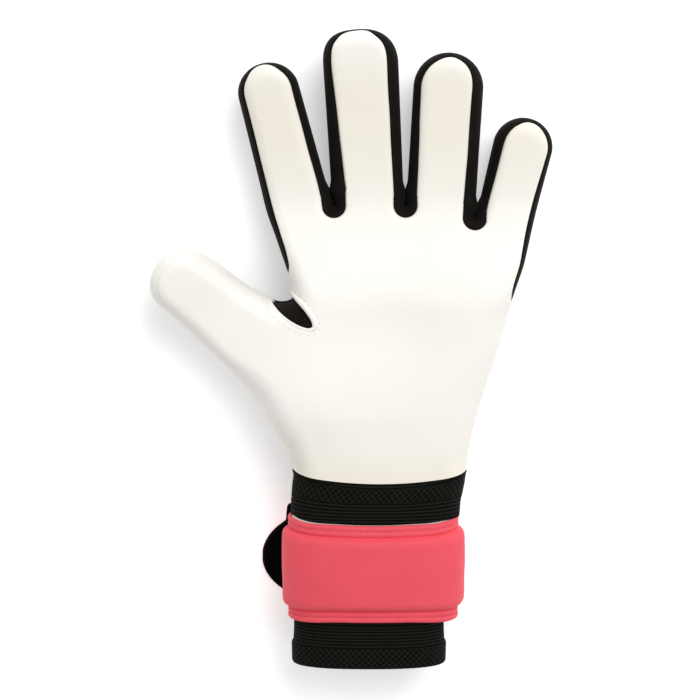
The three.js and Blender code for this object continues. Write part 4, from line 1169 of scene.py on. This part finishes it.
    def gusset(self, name: str, node: str, start: int, end: int) -> None:
        """Strip of mesh between the palm and the back, over a run of columns.

        Args:
            name: Name of the piece.
            node: CAD node that it stands for.
            start: First column.
            end: Last column.
        """
        columns = slice(start, end + 1)
        top = self.palm_edge[columns, None] - self.tuck
        bottom = self.back_edge[columns, None] + self.seam_gap + self.tuck
        width = bottom - top
        share = np.linspace(0, 1, 21)[None, :]
        travels = top + width * share
        whole = np.zeros((len(self.outline.x), travels.shape[1]))
        whole[columns] = travels
        grid = self.rows_at(whole)[columns]
        from_edge = np.minimum(travels - top, bottom - travels)
        sunk = self.mesh_sunk[0] + self.mesh_sunk[1] * (1 - ramp(from_edge, 0.0, self.tuck * 1.2))
        pressed = self.pressed()[columns, None] * ramp(from_edge, self.tuck * 0.4, self.tuck * 1.5)
        grid = grid - self.outward(grid) * (sunk - pressed * self.crotch_press)[:, :, None]
        count, rows = grid.shape[:2]
        mesh = new_mesh(name, grid.transpose(1, 0, 2).reshape(-1, 3), grid_faces(rows, count))
        along = np.concatenate([[0.0], np.cumsum(np.linalg.norm(np.diff(grid[:, rows // 2], axis=0), axis=1))])
        set_surface_map(mesh, np.stack([np.tile(along, rows), travels.T.ravel()], axis=1))
        piece = new_piece(name, mesh, self.finishes.mesh)
        thicken(piece, self.gusset_wall)
        finish_piece(piece, Slot.GUSSET, node)

    def oval_gusset(self, surface: bpy.types.Mesh) -> None:
        """Oval of mesh that is let into the thumb's crotch, a little below the latex."""
        sunk = surface.copy()
        sunk.name = "thumb_crotch_mesh"
        normals = np.array([corner.normal for corner in sunk.vertices])
        places = np.array([corner.co for corner in sunk.vertices]) - normals * self.oval_sunk * MM
        sunk.vertices.foreach_set("co", places.ravel())
        cut_away(sunk, lambda rows: -self.beyond_oval(rows, self.oval_tuck))
        plan_surface_map(sunk)
        piece = new_piece("thumb_crotch_mesh", sunk, self.finishes.mesh)
        thicken(piece, self.gusset_wall)
        finish_piece(piece, Slot.GUSSET, "thumb_crotch_gusset")

    def oval_path(self, tree: BVHTree,
                  grown: Callable[[float], float]) -> tuple[np.ndarray, np.ndarray, np.ndarray]:
        """Path round the oval over the latex, from its open end round to its open end.

        Args:
            tree: Search tree of the latex's outer face.
            grown: Distance from the oval's edge at an angle of it.

        Returns:
            Places in plan millimetres, the ways up from them, and their angles.
        """
        centre = self.form.thumb_point(*self.oval_place)
        places, ways, turns = [], [], []
        for turn in np.linspace(-math.pi, math.pi, 181):
            reach = grown(turn)
            plan = (centre + math.cos(turn) * (self.oval_size[0] / 2 + reach) * -self.form.thumb_along
                    + math.sin(turn) * (self.oval_size[1] / 2 + reach) * self.form.thumb_side)
            above = Vector(placed(np.array([*plan, 90.0])))
            hit, way, _, _ = tree.ray_cast(above, Vector((0, 0, -1)))
            if hit is not None:
                places.append(hit)
                ways.append(way)
                turns.append(turn)
        return in_plan(places), np.array(ways), np.array(turns)

    def rim_size(self, turn: Numbers) -> Numbers:
        """Radius of the rim at an angle of the oval: full beside the index, thin beside the thumb."""
        return self.rim_radius * lerp(self.rim_thin, 1.0, ramp(np.sin(turn), -0.6, 0.3))

    def rim(self, tree: BVHTree) -> None:
        """Rolled latex rim round the oval."""
        path, up, turns = self.oval_path(tree, lambda turn: float(self.rim_size(turn)) * 0.7)
        path, up = softened(path), softened(up)
        out = self.form.thumb_along
        drop = np.array([[*(out * 0.5), -1.0], [*(out * 0.6), -2.2]])  # over the edge and down into the crotch
        skipped = 3  # rows at its other end, which lies under the thumb
        path = np.vstack([path[skipped:], path[-1] + drop])
        up = np.vstack([up[skipped:], np.tile([*out, 0.0], (2, 1))])
        turns = np.concatenate([turns[skipped:], [math.pi] * 2])
        along = np.gradient(path, axis=0)
        along /= np.linalg.norm(along, axis=1)[:, None]
        across = np.cross(along, up)
        across /= np.linalg.norm(across, axis=1)[:, None]
        up = np.cross(across, along)
        steps = self.rim_steps
        turn = np.linspace(0, 2 * math.pi, steps, endpoint=False)[None, :, None]
        number = np.arange(len(path))
        closing = np.sqrt(np.clip(np.minimum(number, number[::-1]) + 0.15, 0, 2) / 2)
        size = (self.rim_size(turns) * closing)[:, None, None]
        wide, high = np.cos(turn) * across[:, None], 0.85 * np.sin(turn) * up[:, None]
        rings = path[:, None] - up[:, None] * 0.3 + size * (wide + high)
        mesh = new_mesh("thumb_crotch_rim", rings.reshape(-1, 3), closed_loft(len(path), steps))
        turn_outward(mesh)
        finish_piece(new_piece("thumb_crotch_rim", mesh, self.finishes.latex), Slot.LATEX)

    def oval_stitches(self, tree: BVHTree) -> None:
        """Line of pale stitches that holds the latex down round the oval."""
        path, up, _ = self.oval_path(tree, lambda _: self.oval_stitch_out)
        lay_stitches("thumb_crotch_stitches", softened(path) + up * 0.03, self.oval_stitching,
                     self.finishes.latex_thread, Slot.LATEX)

    def build(self) -> None:
        """Builds every piece of the shell."""
        surface = self.palm_surface()
        uncut = surface.copy()
        self.cut_at_hem(surface)
        cut_away(surface, self.beyond_oval)
        palm = new_piece("latex_palm", surface, self.finishes.latex)
        thicken(palm, self.palm_wall)
        bake(palm, self.finishes.latex)
        palm.data.set_sharp_from_angle(angle=math.radians(50))
        finish_piece(palm, Slot.LATEX, "palm_latex")
        under = self.back_surface()
        self.cut_at_hem(under)
        plan_surface_map(under)
        back = new_piece("backhand", under, self.finishes.back)
        thicken(back, self.back_wall)
        finish_piece(back, Slot.BACK, "back_panel")
        marks = self.outline.marks
        band = np.nonzero(self.outline.margin > 0)[0]
        tips = [marks[finger.name] for finger in reversed(self.form.fingers)]
        stops = [int(band[0]), *tips, int(band[-1]) + 1]
        names = ("little_outer", "ring_little", "middle_ring", "index_middle", "index_outer")
        for name, start, end in zip(names, stops, stops[1:]):
            self.gusset("mesh_" + name, "gusset_" + name, start, end)
        self.oval_gusset(uncut)
        net = bmesh.new()
        net.from_mesh(uncut)
        tree = BVHTree.FromBMesh(net)
        net.free()
        self.rim(tree)
        self.oval_stitches(tree)


# Cuff


@dataclass
class KnitCuff:
    """Knitted cuff: an openwork band, fine ribs, and a hem band, with its hollow."""

    form: HandForm
    finishes: Finishes
    length: float = 83.0
    wall: float = 2.3
    hem_up: float = 4.5
    hem_rise: float = 4.3
    shell_up: float = 7.0
    waist: tuple[float, float] = (34.8, 16.25)
    drift: float = 5.0
    power: float = 2.5
    waist_up: float = 24.3
    rib_pitch: float = 1.45
    rib_depth: float = 0.4
    rib_zones: tuple[tuple[float, float], ...] = ((7.95, 18.9), (63.05, 73.3))
    steps: int = 168
    end_down: float = 81.4  # distance below the hem where the end starts to round off
    end_round: float = 1.55
    inner_half: tuple[float, float] = (34.9, 14.0)  # half width and about half depth inside the shell
    # Distance below the hem, then the shares toward the shell's width and depth, and of the drift.
    rings: tuple[tuple[float, float, float, float], ...] = (
        (1.7, 0.93, 0.9, 0.06), (4.2, 0.95, 0.92, 0.15), (10.8, 0.82, 0.8, 0.4), (15.8, 0.78, 0.7, 0.45),
        (18.4, 0.0, 0.0, 0.62), (61.0, 0.0, 0.0, 0.62), (64.3, -0.28, 0.0, 1.0), (69.3, -0.25, 0.0, 1.0),
        (72.6, -0.2, 0.0, 1.0), (74.2, 0.0, 0.05, 1.0), (80.6, -0.03, 0.03, 1.0))

    def half_sizes(self, down: float) -> tuple[float, float, float, float]:
        """Half width, half depth, middle across and middle up of the cuff at a distance below its hem."""
        form = self.form
        table = np.array(self.rings)
        top, bottom = float(form.palm(0.0, self.shell_up)), float(form.back(0.0, self.shell_up))
        wide, deep, drift = (float(np.interp(down, table[:, 0], table[:, column])) for column in (1, 2, 3))
        return (lerp(self.waist[0], form.wrist_edge, wide), lerp(self.waist[1], (top - bottom) / 2, deep),
                -drift * self.drift, lerp(self.waist_up, (top + bottom) / 2, deep))

    def ring(self, up: float, sizes: tuple[float, float, float, float], sag: float, travel: float) -> np.ndarray:
        """One ring of the cuff, with its two surface lengths.

        Args:
            up: Plan height of the ring.
            sizes: Half width, half depth, middle across and middle up.
            sag: Share of the hem's sag.
            travel: Length down the surface.

        Returns:
            Rows of x, y, z and the two lengths of the surface map.
        """
        turn = np.linspace(0, 2 * math.pi, self.steps, endpoint=False)
        bow = 2 / self.power
        across = np.sign(np.cos(turn)) * np.abs(np.cos(turn)) ** bow
        rise = np.sign(np.sin(turn)) * np.abs(np.sin(turn)) ** bow
        x, z = sizes[2] + across * sizes[0], sizes[3] + rise * sizes[1]
        around = np.concatenate([[0.0], np.cumsum(np.hypot(np.diff(x), np.diff(z)))])
        y = up + self.hem_rise * across ** 2 * sag
        return np.column_stack([x, y, z, around, np.full(self.steps, travel)])

    def level(self, down: float, inset: float, travel: float, lower: float = 0.0) -> np.ndarray:
        """Ring with the sizes at a distance below the hem, drawn in by an inset and set lower."""
        wide, deep, middle, up = self.half_sizes(down)
        sag = max(0.0, 1 - down / self.length * 6)
        return self.ring(self.hem_up - down - lower, (wide - inset, deep - inset, middle, up), sag, travel)

    def outer_rings(self) -> list[np.ndarray]:
        """Rings of the cuff's outside from inside the shell to its hem."""
        rings = []
        for above in (12.0, 6.0, 2.2):
            y = self.hem_up + above
            low = float(self.form.back(0.0, y + 2.5)) + 3.9
            high = float(self.form.palm(0.0, y + 2.5)) - 4.9
            sizes = self.inner_half[0], (high - low) / 2 - 0.2, 0.0, (low + high) / 2
            rings.append(self.ring(y, sizes, 1.0, -above))
        spans = [np.linspace(-1.3, 7.9, 18), np.linspace(19.5, 61.5, 15), np.linspace(73.6, self.end_down, 12)]
        spans += [np.arange(start, end, self.rib_pitch / 7) for start, end in self.rib_zones]
        for down in np.unique(np.round(np.concatenate(spans), 3)):
            rings.append(self.level(down, -self.relief(down), down))
        for step in range(1, 6):
            turn = math.pi / 2 * step / 5
            shrink = self.wall * 0.5 * (1 - math.cos(turn))
            lower = self.end_round * math.sin(turn)
            rings.append(self.level(self.end_down, shrink, self.end_down + step * 0.4, lower))
        return rings

    def relief(self, down: float) -> float:
        """How far the knit stands out at a distance below the hem: binding, ribs and hem band."""
        binding = 0.5 * math.exp(-((down - 0.1) / 0.9) ** 2)
        ribs = 0.0
        for start, end in self.rib_zones:
            if start <= down <= end:
                ribs = self.rib_depth * (abs(math.sin(math.pi * (down - start) / self.rib_pitch)) ** 0.7 - 1)
        return binding + ribs

    def build(self) -> None:
        """Builds the cuff as one closed, hollow loft."""
        outside = self.outer_rings()
        inside = [self.level(down, self.wall, 170 - down)
                  for down in (82.0, 80.0, 76.0, 72.0, 66.0, 58.0, 45.0, 32.0, 20.0, 15.0, 10.0, 4.0)]
        top = outside[0][:, :3]
        centre = (top.min(axis=0) + top.max(axis=0)) / 2
        for ring in (outside[2].copy(), outside[0].copy()):
            for axis, half in zip((0, 2), self.inner_half):
                ring[:, axis] = centre[axis] + (ring[:, axis] - centre[axis]) * (1 - self.wall / half)
            inside.append(ring)
        rings = np.array([*outside, *inside])
        last = (len(rings) - 1) * self.steps
        faces = grid_faces(len(rings), self.steps, closed=True)
        for step in range(self.steps):
            after = (step + 1) % self.steps
            faces.append((last + step, step, after, last + after))
        rows = rings.reshape(-1, 5)
        mesh = new_mesh("cuff_knit", rows[:, :3], [tuple(reversed(face)) for face in faces])
        set_surface_map(mesh, rows[:, 3:])
        piece = new_piece("cuff_knit", mesh, self.finishes.knit, self.finishes.knit_band)
        for polygon in mesh.polygons:
            down = rows[polygon.vertices[0], 4]
            polygon.material_index = int(1.0 < down < 7.8 or 73.5 < down < 90)
        finish_piece(piece, Slot.KNIT, "knit_cuff")


# Strap


@dataclass
class WristStrap:
    """Padded strap round the cuff, its flap with the hook tape, and its stitching."""

    finishes: Finishes
    cuff: KnitCuff
    height: float = 42.5
    thickness: float = 3.0
    pad_rise: float = 2.4
    middle_up: float = -35.25
    shift: float = 3.1
    flap_thickness: float = 2.5
    flap_drop: float = 5.2
    tab_reach: float = 50.6
    tab_round: float = 29.0
    shoulder_rise: float = 3.0
    shoulder_reach: float = 39.2
    gap: float = 0.35
    hook_thickness: float = 1.2
    hook_length: float = 45.5
    hook_margin: float = 0.7
    top_stitching: Stitching = Stitching(2.15, 1.35, 0.34)
    low_stitching: Stitching = Stitching(1.6, 0.9, 0.34)
    stitch_inset: float = 2.7
    corner_lift: float = 3.0
    side_drop: float = 1.2
    middle_rise: float = 1.3
    foam_edge: float = 0.1
    edge_round: float = 1.1
    stitch_dip: tuple[float, float] = (0.4, 0.55)  # depth and width of the sunk stitch line
    groove: tuple[float, float, float] = (0.75, 0.6, 5.2)  # depth, width and way in of the pad's groove
    pad_half: float = 0.757  # share of the half height that the pad takes up
    wave_rise: float = 0.4
    flap_from: int = 215  # station from which the strap counts as flap
    bristle_size: float = 0.75
    bristle_pitch: float = 1.25
    bristle_inset: float = 0.8
    free_from: float = 17.5  # distance from the round end's centre where the tape comes free of the cuff

    def front(self, across: np.ndarray, padded: float) -> np.ndarray:
        """Height of the strap's face over its inner one, across its width from -1 to 1."""
        out = np.abs(across)
        edge = (1 - out) * (self.height / 2)
        rounded = self.thickness * (0.5 + 0.5 * np.sqrt(1 - (1 - np.clip(edge / self.edge_round, 0, 1)) ** 2))
        stitched = self.stitch_dip[0] * np.exp(-((edge - self.stitch_inset) / self.stitch_dip[1]) ** 2)
        depth, width, way_in = self.groove
        groove = depth * padded * np.exp(-((edge - way_in) / width) ** 2)
        crown = np.clip((self.pad_half - out) / self.pad_half, 0, 1)
        pad = padded * (self.pad_rise + 0.2) * (1 - (1 - np.clip(crown / 0.22, 0, 1)) ** 2.2)
        return rounded - stitched - groove + pad + padded * 0.35 * crown

    def stations(self) -> list[dict[str, float]]:
        """Stations along the strap, from its far end round the cuff and out along the flap."""
        stations = []
        half_wide, half_deep = self.cuff.waist[0] + self.gap, self.cuff.waist[1] + self.gap
        bow, half = 2 / self.cuff.power, self.height / 2

        def oval(angle: float) -> np.ndarray:
            """Place on the cuff's oval."""
            cosine, sine = math.cos(angle), math.sin(angle)
            return np.array([math.copysign(abs(cosine) ** bow, cosine) * half_wide,
                             math.copysign(abs(sine) ** bow, sine) * half_deep])

        for degrees in np.linspace(256.0, -90.0, 231):
            angle = math.radians(degrees)
            step = oval(angle - 0.012) - oval(angle + 0.012)
            out = np.array([-step[1], step[0]]) / np.linalg.norm(step)
            fall = 1 - float(ramp(degrees, -88, -38))
            place = oval(angle) + out * fall * self.flap_drop
            lift = self.corner_lift * (1 - max(0.0, math.sin(angle)) ** 1.5) * (1 - fall)
            stations.append({
                "x": place[0], "z": self.cuff.waist_up + place[1], "out_x": out[0], "out_z": out[1],
                "thick": float(lerp(self.thickness, self.flap_thickness, fall)),
                "pad": float(ramp(degrees, -52, -38) * (1 - ramp(degrees, 218, 232))),
                "top": half, "bottom": half, "flap": 0.0,
                "lift": lift * (1 - float(ramp(degrees, 180, 250))), "angle": degrees})
        flat = {"z": self.flap_thickness, "out_x": 0.0, "out_z": -1.0, "thick": self.flap_thickness, "pad": 0.0,
                "flap": 1.0, "lift": 0.0, "angle": -180.0}
        shoulder, corner = half + self.shoulder_rise, -self.shoulder_reach
        start = self.tab_round - self.tab_reach

        def lay_flat(x: float, top: float, bottom: float) -> None:
            """Adds a station of the flat flap."""
            stations.append({**flat, "x": x, "top": top, "bottom": bottom})

        def round_x(turn: float) -> float:
            """How far across an angle of the tab's round end lies."""
            return start - math.sin(math.radians(turn)) * self.tab_round

        lay_flat(-6.0, (half + shoulder) / 2, half)
        for x in [*np.linspace(-9.0, start, 6), *map(round_x, (6, 12, 18, 24, 30, 35, 40))]:
            if x > corner:
                share = max(0.0, (start - x) / self.tab_round)
                lay_flat(x, shoulder if x < -13 else (half + shoulder) / 2, half * math.sqrt(1 - share ** 2))
        here = half * math.sqrt(1 - ((start - corner) / self.tab_round) ** 2)
        lay_flat(corner + 0.5, shoulder - 0.6, here)
        lay_flat(corner, shoulder - 1.4, here)
        lay_flat(corner - 0.5, here, here)
        for turn in np.linspace(44, 84, 14):
            if round_x(turn) < corner - 0.6:
                low = math.cos(math.radians(turn)) * self.height / 2
                lay_flat(round_x(turn), low, low)
        return stations

    def section(self) -> tuple[np.ndarray, int]:
        """Shares across the strap's face, and the number of rows in its closed section."""
        half = self.height / 2
        near_edge = 1 - np.array([0.0, 0.12, 0.35, 0.7, 1.1, 1.6, 2.1, 2.4, 2.7, 3.0, 3.4, 4.0, 4.5, 4.9, 5.2, 5.5,
                                  5.9, 6.4, 7.0, 8.0, 9.5]) / half
        right = np.concatenate([near_edge, np.linspace(near_edge[-1], 0, 9)[1:]])
        across = np.concatenate([-right, right[::-1][1:]])
        return across, len(across) + 4

    def place(self, station: dict[str, float], across: float, away: float) -> list[float]:
        """Plan place of a point of the strap."""
        half = station["top"] if across > 0 else station["bottom"]
        lift = station["lift"] * float(ramp(across, -0.9, 1.0))
        spread = float(ramp(abs(station["x"]), 14.0, 33.0))
        if not station["flap"]:
            lift += across * (self.side_drop * spread if across < 0 else self.middle_rise * (1 - spread))
        return [station["x"] - self.shift + station["out_x"] * away,
                self.middle_up + across * half + lift, station["z"] + station["out_z"] * away]

    def wave(self, station: dict[str, float], across: float) -> float:
        """Slow unevenness of the padded face."""
        spot = Vector((station["angle"] / 16.0, across * 1.6, 3.7))
        return station["pad"] * self.wave_rise * noise.noise(spot) * (1 - abs(across) ** 4)

    def body(self) -> None:
        """Strap and flap as one closed loft."""
        stations = self.stations()
        across, count = self.section()
        points = []
        for station in stations:
            scale = station["thick"] / self.thickness
            face = self.front(across, station["pad"]) * scale
            for share, away in zip(across.tolist(), face.tolist()):
                points.append(self.place(station, share, away + self.wave(station, share)))
            shown = (self.foam_edge + 0.2 * station["lift"]) * station["pad"]
            edges = ((1.0, 0.35, shown), (0.99, 0.0, shown), (-0.99, 0.0, 0.0), (-1.0, 0.35, 0.0))
            for share, depth, out in edges:
                x, y, z = self.place(station, share, depth * station["thick"])
                points.append([x, y + out, z])
        mesh = new_mesh("strap_pad", np.array(points), closed_loft(len(stations), count))
        turn_outward(mesh)
        piece = new_piece("strap_pad", mesh, self.finishes.jersey, self.finishes.cut_foam, self.finishes.lining)
        last = count - 1
        edges = ({last - 4, last - 3}, {last - 3, last - 2}, {last - 1, last}, {0, last})
        for polygon in mesh.polygons:
            rows = {corner % count for corner in polygon.vertices}
            level = min(corner // count for corner in polygon.vertices)
            station = stations[level]
            flap = station["flap"] > 0 or level > self.flap_from
            on_shoulder = flap and station["x"] > -self.shoulder_reach - 0.4
            if rows <= {last - 2, last - 1}:
                polygon.material_index = 2
            elif any(rows <= pair for pair in edges):
                polygon.material_index = 2 if on_shoulder else 1
        mesh.set_sharp_from_angle(angle=math.radians(65))
        finish_piece(piece, Slot.STRAP, "wrist_strap")

    def stitch_path(self, side: int) -> np.ndarray:
        """Path of one line of stitches over the padded face."""
        across = side * (1 - self.stitch_inset / (self.height / 2))
        places = []
        for station in self.stations():
            if station["flap"] or station["pad"] < 0.05:
                continue
            away = float(self.front(np.array([across]), station["pad"])[0]) + 0.08
            places.append(self.place(station, across, away))
        return np.array(places)

    def stitches(self) -> None:
        """Two lines of lockstitch, laid by nodes along their paths."""
        # The bottom line takes the darker copy of the thread: painted shade where it sinks in
        lines = (("top", 1, self.top_stitching, self.finishes.thread),
                 ("bottom", -1, self.low_stitching, self.finishes.shaded_thread))
        for name, side, stitching, thread in lines:
            lay_stitches("strap_stitches_" + name, self.stitch_path(side), stitching, thread, Slot.STRAP)

    def hook(self) -> None:
        """Thin hook tape on the flap's inner face, with its bristles where it lies free."""
        low, half = self.flap_thickness + self.gap, self.height / 2 - self.hook_margin
        start, reach = self.tab_round - self.tab_reach, self.tab_round - self.hook_margin
        right = self.hook_length - self.tab_reach
        turn = np.linspace(math.pi / 2, 3 * math.pi / 2, 41)
        rounded = [(start + math.cos(angle) * reach, math.sin(angle) * half) for angle in turn]
        outline = np.array([(right, half), *rounded, (right, -half)])
        rings = []
        for shrink, rise in ((0.0, 0.0), (0.0, 0.8), (0.12, 1.1), (0.4, 1.2)):
            x = outline[:, 0] * (1 - shrink / 40) - self.shift
            y = outline[:, 1] * (1 - shrink / 21) + self.middle_up
            rings.append(np.column_stack([x, y, np.full(len(outline), low + rise * self.hook_thickness / 1.2)]))
        mesh = new_mesh("hook_tape", np.vstack(rings), closed_loft(len(rings), len(outline)))
        turn_outward(mesh)
        mesh.set_sharp_from_angle(angle=math.radians(40))
        finish_piece(new_piece("hook_tape", mesh, self.finishes.hook), Slot.HOOK, "hook_patch")
        bristles = new_piece("hook_bristles", new_mesh("hook_bristles", np.zeros((1, 3)), []))
        centre = placed(np.array([start - self.shift, self.middle_up, low + self.hook_thickness]))
        settings = {
            "Pitch": self.bristle_pitch * MM, "Centre": tuple(centre), "Free from": self.free_from * MM,
            "Reach": (reach - self.bristle_inset) * MM, "Half height": (half - self.bristle_inset) * MM,
            "Bristle": self.bristle_size * MM}
        lay(bristles, bristle_tree(self.finishes.hook), settings, self.finishes.hook)
        finish_piece(bristles, Slot.HOOK)

    def build(self) -> None:
        """Builds the strap, its stitches and the hook tape."""
        self.body()
        self.stitches()
        self.hook()


def bristle_tree(material: Material) -> Tree:
    """Rows of small moulded bristles over the free, round end of the hook tape."""
    tree, given = new_group("bristles", ("Pitch", "Centre", "Reach", "Half height", "Free from", "Bristle"))
    reach, half = given["Reach"], given["Half height"]
    wide, high = [maths(tree, "MULTIPLY", size, 2.0) for size in (reach, half)]
    columns, rows = [maths(tree, "ROUND", maths(tree, "DIVIDE", size, given["Pitch"])) for size in (wide, high)]
    grid = add_node(tree, "GeometryNodeMeshGrid", inputs={
        "Size X": wide, "Size Y": high, "Vertices X": columns, "Vertices Y": rows})
    place = add_node(tree, "ShaderNodeSeparateXYZ", inputs={
        "Vector": add_node(tree, "GeometryNodeInputPosition").outputs["Position"]})
    across = maths(tree, "DIVIDE", place.outputs["X"], reach)
    up = maths(tree, "DIVIDE", place.outputs["Y"], half)
    out = maths(tree, "ADD", maths(tree, "MULTIPLY", across, across), maths(tree, "MULTIPLY", up, up))
    outside = maths(tree, "GREATER_THAN", out, 1.0)
    covered = maths(tree, "GREATER_THAN", place.outputs["X"], maths(tree, "MULTIPLY", given["Free from"], -1.0))
    kept = add_node(tree, "GeometryNodeDeleteGeometry", {"domain": "POINT"}, {
        "Geometry": grid.outputs["Mesh"], "Selection": maths(tree, "MAXIMUM", outside, covered)})
    moved = add_node(tree, "GeometryNodeTransform", inputs={
        "Geometry": kept.outputs["Geometry"], "Translation": given["Centre"]})
    stem = add_node(tree, "GeometryNodeMeshCone", inputs={
        "Vertices": 6, "Radius Top": 0.22, "Radius Bottom": 0.38, "Depth": 1.0})
    lean = add_node(tree, "FunctionNodeRandomValue", {"data_type": "FLOAT_VECTOR"}, {
        0: (-0.35, -0.35, 0.0), 1: (0.35, 0.35, 3.0), "Seed": 7})
    size = add_node(tree, "ShaderNodeCombineXYZ", inputs={axis: given["Bristle"] for axis in "XYZ"})
    instances(tree, {"Points": moved.outputs["Geometry"], "Instance": stem.outputs["Mesh"],
                     "Rotation": lean.outputs[0], "Scale": size.outputs["Vector"]}, material)
    return tree


# Studio


@dataclass
class Studio:
    """Pale floor, soft light and the camera."""

    finishes: Finishes
    distance: float = 1.05
    lens: float = 122.0
    tilt: float = 8.0
    aim: tuple[float, float, float] = (-13.5, 63.0, 25.0)
    floor_half: float = 1.6
    floor_drop: float = 0.0004
    # Name, place, size and power of each lamp.
    lamps: tuple[tuple[str, tuple[float, float, float], float, float], ...] = (
        ("softbox", (0.4, 0.75, 1.12), 0.9, 13.0), ("fill", (-0.8, -0.3, 1.1), 1.0, 0.6))
    surround: float = 0.48

    def build(self) -> None:
        """Makes the camera, the floor, the lights and the world."""
        camera = bpy.data.cameras.new("camera")
        camera.lens = self.lens
        camera.sensor_width = 36.0
        seat = linked(bpy.data.objects.new("camera", camera))
        tilt = math.radians(self.tilt)
        aim = placed(np.array(self.aim))
        seat.location = Vector(aim) + self.distance * Vector((0, math.sin(tilt), math.cos(tilt)))
        seat.rotation_euler = (-tilt, 0.0, 0.0)
        bpy.context.scene.camera = seat
        mesh = bpy.data.meshes.new("floor")
        half = self.floor_half
        corners = [(-half, -half, 0), (half, -half, 0), (half, half, 0), (-half, half, 0)]
        mesh.from_pydata(corners, [], [(0, 1, 2, 3)])
        floor = new_piece("floor", mesh, self.finishes.floor)
        floor.location.z = -self.floor_drop
        for lamp in self.lamps:
            self.lamp(*lamp)
        world = bpy.data.worlds.new("studio")
        world.use_nodes = True
        world.node_tree.nodes["Background"].inputs["Color"].default_value = (1.0, 1.0, 1.0, 1.0)
        world.node_tree.nodes["Background"].inputs["Strength"].default_value = self.surround
        bpy.context.scene.world = world
        bpy.context.scene.view_settings.view_transform = "Standard"

    def lamp(self, name: str, place: tuple[float, float, float], size: float, power: float) -> None:
        """Adds a square area light that looks at the glove."""
        light = bpy.data.lights.new(name, "AREA")
        light.size = size
        light.energy = power
        lamp = linked(bpy.data.objects.new(name, light))
        lamp.location = place
        lamp.rotation_euler = (Vector((0, 0, 0.02)) - Vector(place)).to_track_quat("-Z", "Y").to_euler()


def main() -> None:
    """Builds the studio and the glove."""
    logging.basicConfig(level=logging.INFO, format="%(message)s")
    finishes = Finishes()
    Studio(finishes).build()
    form = HandForm()
    HandShell(form, finishes).build()
    cuff = KnitCuff(form, finishes)
    cuff.build()
    WristStrap(finishes, cuff).build()


if __name__ == "__main__":
    main()
